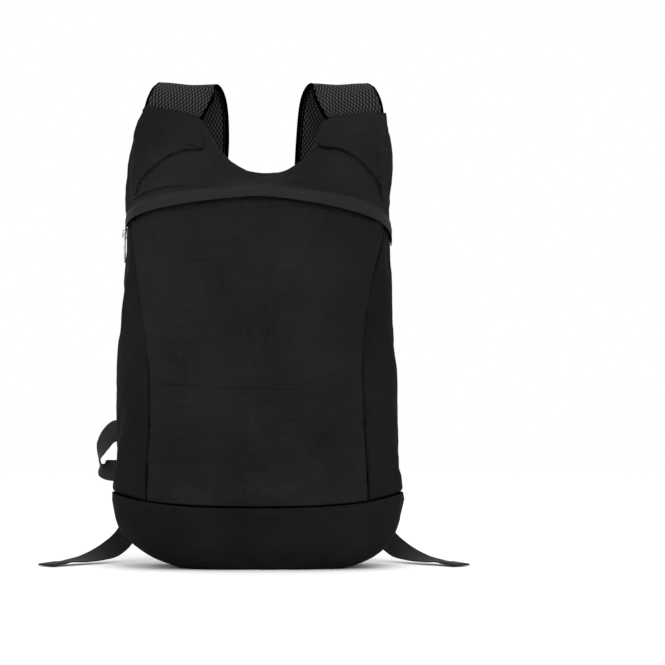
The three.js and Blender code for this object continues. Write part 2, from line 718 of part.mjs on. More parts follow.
// Adjusting webbing: from the base corner up to the adjuster, round its last bar and down to the floor
function adjustWebbing(side) {
  const frame = lockFrame(side);
  const lastBar = firstBar + 2 * barPitch;
  const flat = frame.sideways.toArray();
  const anchorX = halfWidthAt(side, baseSeamHeight) - webbingWidth;
  const anchorY = rearDepth + baseProud + webbingThickness + seamGap;
  const seamEnd = mirrored(side, anchorX, anchorY, baseSeamHeight);
  const anchorEnd = mirrored(side, anchorX, anchorY + anchorStand, baseSeamHeight + anchorLength);
  const anchor = [seamEnd, anchorEnd].map((point) => ({ point, across: [1, 0, 0] }));
  const wrap = wrapPoints(frame, lastBar, wrapRadius, -1).map((point) => ({ point, across: flat }));
  const below = [{ point: lockPoint(frame, lastBar + tailSpread, -wrapRadius), across: flat }];
  const after = [{ point: lockPoint(frame, lastBar + tailSpread, wrapRadius + tailStand), across: flat }];
  const tailReach = webbingReach * (side < 0 ? 1 : rightTailReach);
  const tail = tailSections.map(({ out, back, height, across }) => ({
    point: mirrored(side, tailReach * out, rearDepth * back, baseSeamHeight * height),
    across: [across[0], side * across[1], side * across[2]],
  }));
  const stations = [...anchor, ...below, ...wrap, ...after, ...tail];
  const thickness = (share) => (share > 1 - hemShare ? 2 * webbingThickness : webbingThickness);
  return webbingBand(stations, webbingSteps, thickness);
}

// Webbing loop on the left: both ends are seated on the side wall
function sideLoop() {
  const stations = loopSections.map(({ out, back, height, across }, index) => {
    const level = loopHeight * height;
    const point = mirrored(-1, loopReach * out, rearDepth * back, level);
    if (index === 0 || index === loopSections.length - 1) {
      const seat = skinPoint(-mix(1, cornerTurn, back), level);
      point.set(seat.x - 2 * seamGap, seat.y, level);
    }
    return { point, across: [-across[0], across[1], across[2]] };
  });
  return webbingBand(stations, loopSteps);
}

// Place of the zip slider: upright on the left wall, just behind the end of the flap
function sliderPlace() {
  const place = skinPoint(sliderTurn, zipLine(sliderTurn));
  place.x -= sliderStand;
  const turn = new THREE.Matrix4().makeBasis(
    new THREE.Vector3(-1, 0, 0),
    up,
    new THREE.Vector3(0, 1, 0),
  );
  return turn.setPosition(place);
}

// Slider body with the bridge that carries the puller, joined into one solid. X points away from the
// bag, Y up and Z along the wall.
function zipSlider() {
  const half = sliderLength / 2;
  const inside = half - 2 * bridgeWire;
  const crown = bridgeOut + bridgeWire;
  const arch = new THREE.Shape();
  arch.moveTo(0, -half + bridgeWire).lineTo(sliderThickness, -half).lineTo(bridgeOut, -half + bridgeWire);
  arch.lineTo(crown, -inside).lineTo(crown, inside).lineTo(bridgeOut, half - bridgeWire);
  arch.lineTo(sliderThickness, half).lineTo(0, half - bridgeWire).closePath();
  const gap = new THREE.Path();
  gap.moveTo(sliderThickness, -inside).lineTo(sliderThickness, inside);
  gap.lineTo(bridgeOut, inside).lineTo(bridgeOut, -inside).closePath();
  arch.holes.push(gap);
  const bridge = new THREE.ExtrudeGeometry(arch, { depth: bridgeWidth, bevelEnabled: false });
  bridge.translate(0, 0, -bridgeWidth / 2);
  const tip = sliderWidth / 2;
  const plate = new THREE.Shape();
  plate.moveTo(-tip, half - 2 * bridgeWire).lineTo(-tip / 2, half).lineTo(tip / 2, half);
  plate.lineTo(tip, half - 2 * bridgeWire).lineTo(tip, -half).lineTo(-tip, -half).closePath();
  const body = new THREE.ExtrudeGeometry(plate, { depth: sliderThickness, bevelEnabled: false });
  body.rotateY(Math.PI / 2);
  return joined(body, bridge).applyMatrix4(sliderPlace());
}

function solidOf(geometry) {
  const bare = geometry.clone();
  bare.deleteAttribute('normal');
  bare.deleteAttribute('uv');
  const merged = mergeVertices(bare);
  return new wasm.Manifold(new wasm.Mesh({
    numProp: 3,
    vertProperties: new Float32Array(merged.attributes.position.array),
    triVerts: new Uint32Array(merged.index.array),
  }));
}

function joined(first, second) {
  const mesh = solidOf(first).add(solidOf(second)).getMesh();
  const geometry = new THREE.BufferGeometry();
  geometry.setAttribute('position', new THREE.Float32BufferAttribute(mesh.vertProperties, 3));
  geometry.setIndex(Array.from(mesh.triVerts));
  geometry.computeVertexNormals();
  return geometry;
}

// Puller hanging from the bridge, built about its upper bar, which is the axis that it swings on
function zipPull() {
  const halfTop = pullWidth / 2;
  const halfTip = halfTop * pullTaper;
  const plate = new THREE.Shape();
  plate.moveTo(-halfTop, pullBar / 2).lineTo(-halfTip, halfTip - pullLength);
  plate.absarc(0, halfTip - pullLength, halfTip, Math.PI, 2 * Math.PI, false);
  plate.lineTo(halfTop, pullBar / 2).closePath();
  const slot = new THREE.Path();
  const slotTop = -pullBar / 2;
  slot.moveTo(-pullSlotWidth / 2, slotTop).lineTo(pullSlotWidth / 2, slotTop);
  slot.lineTo(pullSlotWidth / 2, slotTop - pullSlotLength);
  slot.lineTo(-pullSlotWidth / 2, slotTop - pullSlotLength).closePath();
  const hole = new THREE.Path();
  const low = halfTip - pullLength;
  hole.absarc(0, low, pullHoleRadius, Math.PI, 2 * Math.PI, false);
  hole.absarc(0, low + pullHoleLength, pullHoleRadius, 0, Math.PI, false);
  hole.closePath();
  plate.holes.push(slot, hole);
  const settings = { depth: pullThickness, bevelEnabled: false, curveSegments: holeSteps };
  const geometry = new THREE.ExtrudeGeometry(plate, settings);
  geometry.translate(0, 0, -pullThickness / 2);
  geometry.rotateY(Math.PI / 2);
  return geometry.translate(pullStand, 0, 0).applyMatrix4(sliderPlace());
}

const finish = (color, roughness, metalness = 0) => ({ color, roughness, metalness });
const polyester = finish(0x1f1f20, 0.62);
const flapCloth = finish(0x2a2a2b, 0.55);
const airMesh = finish(0x303030, 0.9);
const tape = finish(0x0c0c0c, 0.8);
const webbing = finish(0x161616, 0.75);
const plastic = finish(0x101010, 0.4);
const nickel = finish(0x8c8c8c, 0.35, 1);

const bag = new THREE.Group();

function add(name, geometry, look) {
  const mesh = new THREE.Mesh(geometry, new THREE.MeshStandardMaterial(look));
  mesh.name = name;
  bag.add(mesh);
}

add('base_panel', basePanel(), polyester);
add('front_panel', frontPanel(), polyester);
add('back_panel', backPanel(), polyester);
add('yoke', yokePanel(), polyester);
add('zip_flap', zipFlap(), flapCloth);
add('zip_slider', zipSlider(), nickel);
add('zip_pull', zipPull(), nickel);
add('side_loop', sideLoop(), webbing);
for (const [label, side] of [['left', -1], ['right', 1]]) {
  add(`side_panel_${label}`, sidePanel(side), polyester);
  add(`shoulder_strap_${label}`, strapPad(side), airMesh);
  add(`strap_binding_${label}_inner`, strapBinding(side, -side), tape);
  add(`strap_binding_${label}_outer`, strapBinding(side, side), tape);
  add(`lock_tab_${label}`, lockTab(side), webbing);
  add(`ladder_lock_${label}`, ladderLock(side), plastic);
  add(`adjust_webbing_${label}`, adjustWebbing(side), webbing);
}

export default bag;
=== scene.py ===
"""Dresses a packable backpack of thin black cloth over its CAD frame, in metres."""

import logging
import math
from collections.abc import Callable, Sequence
from dataclasses import dataclass, field
from enum import Enum

import bmesh
import bpy
from mathutils import Matrix, Vector, noise
from mathutils.bvhtree import BVHTree
from mathutils.kdtree import KDTree


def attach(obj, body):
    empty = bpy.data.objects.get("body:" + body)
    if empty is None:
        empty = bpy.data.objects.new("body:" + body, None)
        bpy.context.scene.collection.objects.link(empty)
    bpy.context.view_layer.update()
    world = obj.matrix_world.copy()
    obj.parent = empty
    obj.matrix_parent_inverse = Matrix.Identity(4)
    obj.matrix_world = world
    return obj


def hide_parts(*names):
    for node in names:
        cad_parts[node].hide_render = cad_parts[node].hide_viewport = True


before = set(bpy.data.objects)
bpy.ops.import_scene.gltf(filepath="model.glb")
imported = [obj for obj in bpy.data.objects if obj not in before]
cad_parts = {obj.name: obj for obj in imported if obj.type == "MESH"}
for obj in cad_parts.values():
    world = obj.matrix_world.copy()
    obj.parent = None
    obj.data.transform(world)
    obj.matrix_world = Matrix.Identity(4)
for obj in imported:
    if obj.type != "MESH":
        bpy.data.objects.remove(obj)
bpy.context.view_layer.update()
LOG = logging.getLogger("backpack")
MM = 0.001
TURN = 2 * math.pi
UP = Vector((0, 0, 1))
VIEW_DISTANCE = 1.5
VIEW_HEIGHT = 0.12
MERGE = 0.01 * MM
SEAM_BAND = 2 * MM
FLAT_ANGLE = math.radians(5)
CORNER_ANGLE = math.radians(30)
QUAD_ANGLE = math.radians(60)
BAND_EDGE = 0.2
BAND_COLUMNS = 76
STRIP_MAP = "strip"
BAG = "bag"
PULLER = "puller"


class Side(Enum):
    """The two sides of the bag, as seen in front of it."""

    LEFT = -1
    RIGHT = 1

    @property
    def label(self) -> str:
        """The side's word in piece and node names."""
        return self.name.lower()


class Slot(Enum):
    """Material slots of the record."""

    POLYESTER = "polyester"
    FLAP = "flap_cloth"
    MESH = "air_mesh"
    TAPE = "binding_tape"
    WEBBING = "webbing"
    PLASTIC = "black_plastic"
    NICKEL = "nickel"


# Shaders and finishes


class Value:
    """A node socket with the arithmetic that the patterns need."""

    def __init__(self, shader: "Shader", socket: bpy.types.NodeSocket) -> None:
        """Wraps one output socket."""
        self.shader = shader
        self.socket = socket

    def _math(self, operation: str, *operands: "Value | float") -> "Value":
        """One Math node on these operands, in order."""
        sockets = dict(enumerate(operands))
        return self.shader.node("ShaderNodeMath", {"operation": operation}, sockets)

    def __add__(self, other: "Value | float") -> "Value":
        """Sum."""
        return self._math("ADD", self, other)

    def __rsub__(self, other: "Value | float") -> "Value":
        """Reflected difference."""
        return self._math("SUBTRACT", other, self)

    def __mul__(self, other: "Value | float") -> "Value":
        """Product."""
        return self._math("MULTIPLY", self, other)

    def wave(self, period: float) -> "Value":
        """Cosine of this length with the given period, from -1 to 1."""
        return self._math("COSINE", self * (TURN / period))

    def above(self, low: float, high: float) -> "Value":
        """Smooth step from 0 at low to 1 at high."""
        settings = {"interpolation_type": "SMOOTHSTEP"}
        return self.shader.node("ShaderNodeMapRange", settings, {"Value": self, 1: low, 2: high})


class Shader:
    """A material's node tree, made through one method."""

    def __init__(self, name: str) -> None:
        """Starts a material that holds only its output."""
        self.material = bpy.data.materials.new(name)
        self.material.use_nodes = True
        self.tree = self.material.node_tree
        self.tree.nodes.clear()

    def node(
        self,
        kind: str,
        settings: dict[str, object] | None = None,
        sockets: dict[str | int, object] | None = None,
        output: str | int = 0,
    ) -> Value:
        """Adds one node.

        Args:
            kind: Blender's name of the node's type.
            settings: its attributes, set before the sockets.
            sockets: values or links by the input's name or number.
            output: the output to hand back.

        Returns:
            The chosen output, ready for arithmetic.
        """
        made = self.tree.nodes.new(kind)
        for name, value in (settings or {}).items():
            setattr(made, name, value)
        for name, value in (sockets or {}).items():
            entry = made.inputs[name]
            if isinstance(value, Value):
                self.tree.links.new(value.socket, entry)
            else:
                entry.default_value = value
        return Value(self, made.outputs[output]) if len(made.outputs) else Value(self, None)

    def place(self, strip: bool = False) -> tuple[Value, Value, Value, Value]:
        """The surface's coordinates.

        Args:
            strip: whether to read the strip's own map in place of object coordinates.

        Returns:
            The vector and its three parts, in metres.
        """
        if strip:
            vector = self.node("ShaderNodeUVMap", {"uv_map": STRIP_MAP})
        else:
            vector = self.node("ShaderNodeTexCoord", output="Object")
        parts = self.node("ShaderNodeSeparateXYZ", None, {0: vector})
        outputs = parts.socket.node.outputs
        return vector, Value(self, outputs[0]), Value(self, outputs[1]), Value(self, outputs[2])

    def grain(self, vector: Value, stretch: Sequence[float], detail: float = 3) -> Value:
        """Noise whose scale along each axis is the given number of cells a metre."""
        sockets = {"Vector": vector, "Scale": stretch}
        spread = self.node("ShaderNodeMapping", {"vector_type": "POINT"}, sockets)
        return self.node("ShaderNodeTexNoise", None, {"Vector": spread, "Scale": 1.0, "Detail": detail})

    def blend(self, factor: Value | float, first: Sequence[float], second: Sequence[float]) -> Value:
        """Mix of two greys or colours by a factor."""
        settings = {"data_type": "RGBA"}
        sockets = {0: factor, 6: (*first, 1), 7: (*second, 1)}
        return self.node("ShaderNodeMix", settings, sockets, 2)

    def relief(self, height: Value, depth: float) -> Value:
        """Bump of a height from 0 to 1 that stands the given depth."""
        sockets = {"Height": height, "Distance": depth, "Strength": 1.0}
        return self.node("ShaderNodeBump", None, sockets)

    def surface(self, **sockets: object) -> bpy.types.Material:
        """Closes the material with its surface shader, whose sockets are given by name."""
        named = {name.replace("_", " "): value for name, value in sockets.items()}
        shader = self.node("ShaderNodeBsdfPrincipled", None, named)
        self.node("ShaderNodeOutputMaterial", None, {"Surface": shader})
        return self.material


def grey(level: float) -> tuple[float, float, float]:
    """A neutral colour of one linear level."""
    return (level, level, level * 1.01)


@dataclass(frozen=True)
class Polyester:
    """Thin plain-woven cloth with slubs, a soft sheen and slight colour drift."""

    name: str
    dark: float
    light: float
    roughness: float = 0.72
    gloss: float = 0.015
    thread: float = 0.75 * MM
    weave_depth: float = 0.035 * MM

    def material(self) -> bpy.types.Material:
        """Builds the material."""
        shader = Shader(self.name)
        vector, x, y, z = shader.place()
        across = x + y
        weave = across.wave(self.thread) * z.wave(self.thread) * 0.25 + 0.5
        upright = shader.grain(vector, (1100, 1100, 26))
        level = shader.grain(vector, (26, 26, 1100))
        slub = upright * 0.5 + level * 0.5
        drift = shader.grain(vector, (16, 16, 12), 2)
        tone = (slub * 0.55 + drift * 0.45 + weave * 0.12).above(0.3, 0.8)
        height = weave * 0.45 + slub * 0.55
        return shader.surface(
            Base_Color=shader.blend(tone, grey(self.dark), grey(self.light)),
            Roughness=slub * 0.16 + (self.roughness - 0.08),
            Normal=shader.relief(height, self.weave_depth * 2),
            Specular_IOR_Level=self.gloss,
        )


class Face(Enum):
    """The two faces of the air mesh."""

    OUTER = "outer"
    INNER = "inner"


@dataclass(frozen=True)
class AirMesh:
    """Spacer mesh: ribs with small dots on the outer face, an open net on the inner one whose threads carry
    painted light.
    """

    face: Face
    pitch: float = 3.3 * MM
    row: float = 2.7 * MM

    def height(self, across: float, along: float) -> float:
        """Relief from 0 to 1 at a place on the strip, in metres."""
        knots = math.cos(TURN * across / self.pitch) * math.cos(math.pi * along / self.row)
        if self.face is Face.INNER:
            return 0.5 + 0.5 * knots
        ribs = math.cos(2 * TURN * across / self.pitch)
        return 0.5 + 0.3 * ribs + 0.2 * knots

    def material(self) -> bpy.types.Material:
        """Builds the material of this face."""
        shader = Shader(f"air_mesh_{self.face.value}")
        vector, across, along, _ = shader.place(strip=True)
        knots = across.wave(self.pitch) * along.wave(2 * self.row)
        yarn = shader.grain(vector, (2600, 2600, 1), 2)
        if self.face is Face.INNER:
            # Painted light: the net's threads go up to grey 0.9, far lighter than the black yarn, to
            # brighten the inner face that lies in shade.
            knit_and_painted_light = (knots + yarn * 0.35).above(-0.1, 0.45)
            colour = shader.blend(knit_and_painted_light, grey(0.003), grey(0.9))
        else:
            ribs = across.wave(self.pitch / 2)
            knit_and_painted_light = (knots * 0.7 + ribs * 0.35 + yarn * 0.5).above(0.1, 1.05)
            colour = shader.blend(knit_and_painted_light, grey(0.004), grey(0.056))
        return shader.surface(
            Base_Color=colour,
            Roughness=0.95 - knit_and_painted_light * 0.2,
            Normal=shader.relief(knit_and_painted_light * 0.6 + yarn * 0.4, 0.12 * MM),
            Specular_IOR_Level=0.2,
        )


@dataclass(frozen=True)
class Tape:
    """Smooth folded binding with a fine rib across it."""

    rib: float = 0.8 * MM

    def material(self) -> bpy.types.Material:
        """Builds the material."""
        shader = Shader("binding_tape")
        vector, _, along, _ = shader.place(strip=True)
        rib = along.wave(self.rib) * 0.5 + 0.5
        fuzz = shader.grain(vector, (900, 300, 1), 3)
        return shader.surface(
            Base_Color=shader.blend(fuzz.above(0.3, 0.8), grey(0.0002), grey(0.0012)),
            Roughness=fuzz * 0.2 + 0.75,
            Normal=shader.relief(rib * 0.4 + fuzz * 0.6, 0.06 * MM),
            Specular_IOR_Level=0.0,
        )


@dataclass(frozen=True)
class Webbing:
    """Woven webbing: ribs along it that are crossed by short picks in alternate rows."""

    rib: float = 1.7 * MM
    pick: float = 1.5 * MM
    depth: float = 0.16 * MM

    def relief(self, across: float, along: float) -> float:
        """How far the ribs and picks stand out at a place on the strip, in metres."""
        ribs = math.cos(TURN * across / self.rib)
        picks = math.cos(math.pi * across / self.rib) * math.cos(TURN * along / (2 * self.pick))
        height = 0.5 + 0.3 * ribs + 0.2 * picks
        return self.depth * (height - 0.5)

    def material(self) -> bpy.types.Material:
        """Builds the material."""
        shader = Shader("webbing")
        vector, across, along, _ = shader.place(strip=True)
        picks = across.wave(2 * self.rib) * along.wave(2 * self.pick) * 0.5 + 0.5
        ribs = across.wave(self.rib) * 0.5 + 0.5
        yarn = shader.grain(vector, (1800, 500, 1), 3)
        tone = (picks * 0.4 + ribs * 0.25 + yarn * 0.6).above(0.25, 1.0)
        return shader.surface(
            Base_Color=shader.blend(tone, grey(0.003), grey(0.02)),
            Roughness=yarn * 0.2 + 0.6,
            Normal=shader.relief(picks * 0.5 + yarn * 0.5, 0.15 * MM),
            Specular_IOR_Level=0.2,
        )


@dataclass(frozen=True)
class Thread:
    """Twisted sewing thread."""

    def material(self) -> bpy.types.Material:
        """Builds the material."""
        shader = Shader("sewing_thread")
        vector, _, _, _ = shader.place()
        twist = shader.grain(vector, (2500, 2500, 2500), 1)
        return shader.surface(
            Base_Color=shader.blend(twist, grey(0.012), grey(0.04)),
            Roughness=twist * 0.2 + 0.45,
            Normal=shader.relief(twist, 0.05 * MM),
        )


@dataclass(frozen=True)
class Moulded:
    """Fine-grained moulded plastic, a little shinier where hands rub it."""

    def material(self) -> bpy.types.Material:
        """Builds the material."""
        shader = Shader("moulded_plastic")
        vector, _, _, _ = shader.place()
        grain = shader.grain(vector, (3000, 3000, 3000), 2)
        rub = shader.grain(vector, (90, 90, 90), 3)
        return shader.surface(
            Base_Color=shader.blend(rub, grey(0.006), grey(0.013)),
            Roughness=rub * 0.25 + grain * 0.1 + 0.25,
            Normal=shader.relief(grain, 0.03 * MM),
        )


@dataclass(frozen=True)
class Nickel:
    """Plated zinc with faint scratches and duller hollows."""

    def material(self) -> bpy.types.Material:
        """Builds the material."""
        shader = Shader("nickel_plate")
        vector, _, _, _ = shader.place()
        scratch = shader.grain(vector, (4000, 4000, 350), 2)
        dull = shader.grain(vector, (260, 260, 260), 3)
        return shader.surface(
            Base_Color=shader.blend(dull.above(0.3, 0.7), grey(0.3), grey(0.52)),
            Metallic=1.0,
            Roughness=dull * 0.2 + scratch * 0.12 + 0.16,
            Normal=shader.relief(scratch, 0.02 * MM),
        )


@dataclass(frozen=True)
class Paper:
    """Plain pale sweep of the studio."""

    level: float = 0.985

    def material(self) -> bpy.types.Material:
        """Builds the material."""
        shader = Shader("pale_sweep")
        vector, _, _, _ = shader.place()
        grain = shader.grain(vector, (40, 40, 40), 2)
        colour = shader.blend(grain, grey(self.level - 0.005), grey(self.level))
        return shader.surface(Base_Color=colour, Roughness=0.9, Specular_IOR_Level=0.1)


# Meshes


def new_object(name: str, mesh: bmesh.types.BMesh) -> bpy.types.Object:
    """Turns a bmesh into an object at the origin and frees the bmesh."""
    data = bpy.data.meshes.new(name)
    mesh.to_mesh(data)
    mesh.free()
    made = bpy.data.objects.new(name, data)
    bpy.context.scene.collection.objects.link(made)
    data.shade_smooth()
    return made


def bake_modifiers(piece: bpy.types.Object) -> None:
    """Puts what a piece's modifiers show into its own mesh and takes them off."""
    graph = bpy.context.evaluated_depsgraph_get()
    shown = bpy.data.meshes.new_from_object(piece.evaluated_get(graph))
    piece.modifiers.clear()
    piece.data = shown
    shown.shade_smooth()


def subdivide(piece: bpy.types.Object, levels: int) -> None:
    """Rounds a piece's mesh by this many levels."""
    modifier = piece.modifiers.new("rounding", "SUBSURF")
    modifier.levels = modifier.render_levels = levels
    modifier.boundary_smooth = "PRESERVE_CORNERS"
    bake_modifiers(piece)


def thicken(piece: bpy.types.Object, thickness: float) -> None:
    """Gives a skin its cloth thickness, inwards."""
    modifier = piece.modifiers.new("cloth", "SOLIDIFY")
    modifier.thickness = thickness
    modifier.offset = -1
    modifier.use_even_offset = False


def dress(
    piece: bpy.types.Object,
    materials: Sequence[bpy.types.Material],
    nodes: Sequence[str] = (),
    body: str = BAG,
) -> bpy.types.Object:
    """Gives a piece its materials and body, and hides the CAD nodes that it stands for.

    Args:
        piece: the finished object.
        materials: one material for each material slot of its mesh.
        nodes: the CAD nodes that it replaces.
        body: the CAD body that it rides on.

    Returns:
        The same object.
    """
    piece.data.materials.clear()
    for material in materials:
        piece.data.materials.append(material)
    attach(piece, body)
    if nodes:
        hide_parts(*nodes)
    LOG.info("%s: %d faces", piece.name, len(piece.data.polygons))
    return piece


def cad_copy(node: str) -> bmesh.types.BMesh:
    """The merged triangles of one CAD node."""
    mesh = bmesh.new()
    mesh.from_mesh(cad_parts[node].data)
    bmesh.ops.remove_doubles(mesh, verts=mesh.verts, dist=MERGE)
    return mesh


def softened(name: str, node: str, offset: float, segments: int, least: float) -> bpy.types.Object:
    """A CAD node's shape with bevelled corners.

    Args:
        name: the piece's name.
        node: the CAD node.
        offset: the bevel's width, in metres.
        segments: the bevel's rows of faces.
        least: the least angle of an edge that is bevelled.

    Returns:
        The piece, without its finish.
    """
    mesh = cad_copy(node)
    flat = [edge for edge in mesh.edges if edge.is_manifold and edge.calc_face_angle() < FLAT_ANGLE]
    bmesh.ops.dissolve_edges(mesh, edges=flat, use_verts=True)
    corners = [edge for edge in mesh.edges if edge.is_manifold and edge.calc_face_angle() >= least]
    bmesh.ops.bevel(
        mesh,
        geom=corners,
        offset=offset,
        segments=segments,
        profile=0.5,
        affect="EDGES",
        material=-1,
        clamp_overlap=True,
    )
    bmesh.ops.triangulate(mesh, faces=mesh.faces)
    return new_object(name, mesh)


def islands(mesh: bmesh.types.BMesh) -> list[list[bmesh.types.BMFace]]:
    """Groups of faces that hang together."""
    left = set(mesh.faces)
    found = []
    while left:
        group = [left.pop()]
        for face in group:
            for edge in face.edges:
                for other in edge.link_faces:
                    if other in left:
                        left.remove(other)
                        group.append(other)
        found.append(group)
    return found


def outer_skin(node: str, wall: float) -> bmesh.types.BMesh:
    """The outer face of a thin CAD wall, as quads.

    Args:
        node: the CAD node of the wall.
        wall: a length above the wall's thickness and below its cells.

    Returns:
        A bmesh of the outer skin alone.
    """
    mesh = cad_copy(node)
    rim = [face for face in mesh.faces if min(edge.calc_length() for edge in face.edges) < wall]
    bmesh.ops.delete(mesh, geom=rim, context="FACES")

    def outwardness(group: list[bmesh.types.BMFace]) -> float:
        """How far a group of faces looks away from the bag's middle line."""
        total = 0.0
        for face in group:
            middle = face.calc_center_median()
            total += face.calc_area() * face.normal.dot(Vector((middle.x, middle.y, 0)))
        return total

    groups = islands(mesh)
    LOG.info("%s: skins of %s faces", node, [len(group) for group in groups])
    kept = set(max(groups, key=outwardness))
    spare = [face for face in mesh.faces if face not in kept]
    bmesh.ops.delete(mesh, geom=spare, context="FACES")
    bmesh.ops.join_triangles(
        mesh,
        faces=mesh.faces,
        angle_face_threshold=QUAD_ANGLE,
        angle_shape_threshold=QUAD_ANGLE,
    )
    return mesh


def border_runs(mesh: bmesh.types.BMesh) -> list[list[Vector]]:
    """The runs of border points between the corners of a sheet of quads, longest first."""
    edges = {edge for edge in mesh.edges if edge.is_boundary}
    corners = [vertex for vertex in mesh.verts if vertex.is_boundary and len(vertex.link_edges) == 2]
    runs = []
    for corner in corners:
        for edge in [edge for edge in corner.link_edges if edge in edges]:
            run, vertex = [corner.co.copy()], corner
            while edge in edges:
                edges.remove(edge)
                vertex = edge.other_vert(vertex)
                run.append(vertex.co.copy())
                ahead = [other for other in vertex.link_edges if other in edges]
                if vertex in corners or not ahead:
                    break
                edge = ahead[0]
            if len(run) > 1:
                runs.append(run)
    return sorted(runs, key=len, reverse=True)


# Folds and the cloth simulation


def seen(place: Vector) -> tuple[float, float]:
    """Where a place shows on the upright plane through the bag's middle, seen from the front."""
    share = VIEW_DISTANCE / (VIEW_DISTANCE + place.y)
    return place.x * share, VIEW_HEIGHT + (place.z - VIEW_HEIGHT) * share


@dataclass(frozen=True)
class Fold:
    """A pressed fold along a line of (x, z) points, in metres, as it is seen from the front.

    The cloth over the line laps over a groove on it, and the lap dies away above.
    """

    line: tuple[tuple[float, float], ...]
    groove: float
    lap: float
    swell: float
    reach: float = 2.0 * MM
    drop: float = 0.0
    fade: float = 5 * MM
    cuts: tuple[float, ...] = (-1.0, -0.45, 0.0, 0.3, 1.0)
    slip: float = 0.01
    nearness: float = 0.02 * MM
    steepness: float = 4.0

    def _height(self, x: float, y: float) -> tuple[float, float]:
        """The line's height at a place's width, and the share that its slope leaves of a rise."""
        across = x * VIEW_DISTANCE / (VIEW_DISTANCE + y)
        spans = list(zip(self.line, self.line[1:]))
        start, stop = next((span for span in spans if across <= span[1][0]), spans[-1])
        run, climb = stop[0] - start[0], stop[1] - start[1]
        part = min(1.0, max(0.0, (across - start[0]) / run))
        return start[1] + part * climb, run / math.hypot(run, climb)

    def _over(self, place: Vector) -> float:
        """How far a place lies over the line, square to it."""
        height, share = self._height(place.x, place.y)
        return (seen(place)[1] - height) * share

    def _lift(self, place: Vector) -> float:
        """The height at which a place that is stored by its distance over the line belongs."""
        height, share = self._height(place.x, place.y)
        shown = place.z / share + height
        return VIEW_HEIGHT + (shown - VIEW_HEIGHT) * (VIEW_DISTANCE + place.y) / VIEW_DISTANCE

    def _strength(self, place: Vector) -> float:
        """The fold's share at a place's width, which fades over and past the line's ends."""
        across = seen(place)[0]
        first, last = self.line[0][0], self.line[-1][0]
        inside = min(across - first, last - across)
        return 1 / (1 + math.exp(-self.steepness * inside / self.fade))

    def _shift(self, over: float) -> tuple[float, float]:
        """How far the cloth stands out, and how far it hangs down, at a distance over the line."""
        place = over / self.reach
        edge = self.cuts[-2]
        if place >= edge - self.slip:
            lap = math.exp(-(place - edge) * self.reach / self.swell)
            return self.lap * lap, self.drop * max(0.0, 1 - (place - edge) / 2)
        return -self.groove * max(0.0, 1 + min(0.0, place)) ** 2, 0.0

    def press(self, piece: bpy.types.Object) -> None:
        """Cuts edges along the line into a panel's skin and moves the cloth beside them."""
        mesh = bmesh.new()
        mesh.from_mesh(piece.data)
        mesh.normal_update()
        for vertex in mesh.verts:
            vertex.co.z = self._over(vertex.co)
        for part in self.cuts:
            bmesh.ops.bisect_plane(
                mesh,
                geom=mesh.verts[:] + mesh.edges[:] + mesh.faces[:],
                dist=self.nearness,
                plane_co=UP * (part * self.reach),
                plane_no=UP,
            )
        overs = [vertex.co.z for vertex in mesh.verts]
        for vertex in mesh.verts:
            vertex.co.z = self._lift(vertex.co)
        mesh.normal_update()
        moves = []
        for vertex, over in zip(mesh.verts, overs):
            out, down = self._shift(over)
            share = 0.0 if vertex.is_boundary else self._strength(vertex.co)
            moves.append((vertex.normal * out - UP * down) * share)
        for vertex, move in zip(mesh.verts, moves):
            vertex.co += move
        mesh.to_mesh(piece.data)
        mesh.free()
        piece.data.shade_smooth()


@dataclass(frozen=True)
class Slack:
    """Wandering looseness of a cloth panel."""

    broad: float = 0.8 * MM
    broad_cell: Vector = field(default_factory=lambda: Vector((45, 45, 70)) * MM)
    fine: float = 0.22 * MM
    fine_cell: Vector = field(default_factory=lambda: Vector((11, 11, 30)) * MM)
    pucker: float = 0.35 * MM
    pucker_cell: float = 6.5 * MM
    pucker_reach: float = 7 * MM
    pucker_floor: float = -1.0
    low_pucker: float = 0.3 * MM
    border: float = 9 * MM

    def shift(self, place: Vector, gap: float) -> float:
        """How far the cloth stands out at a place that lies this far from its panel's border."""

        def drift(cell: Vector) -> float:
            """Smooth noise with cells of the given size."""
            return noise.noise(Vector((place.x / cell.x, place.y / cell.y, place.z / cell.z)))

        inside = min(1.0, gap / self.border)
        loose = inside * (self.broad * drift(self.broad_cell) + self.fine * drift(self.fine_cell))
        bumps = noise.noise(place / self.pucker_cell) * math.exp(-gap / self.pucker_reach)
        strength = self.pucker if place.z > self.pucker_floor else self.low_pucker
        return loose + strength * bumps * min(1.0, gap / SEAM_BAND)


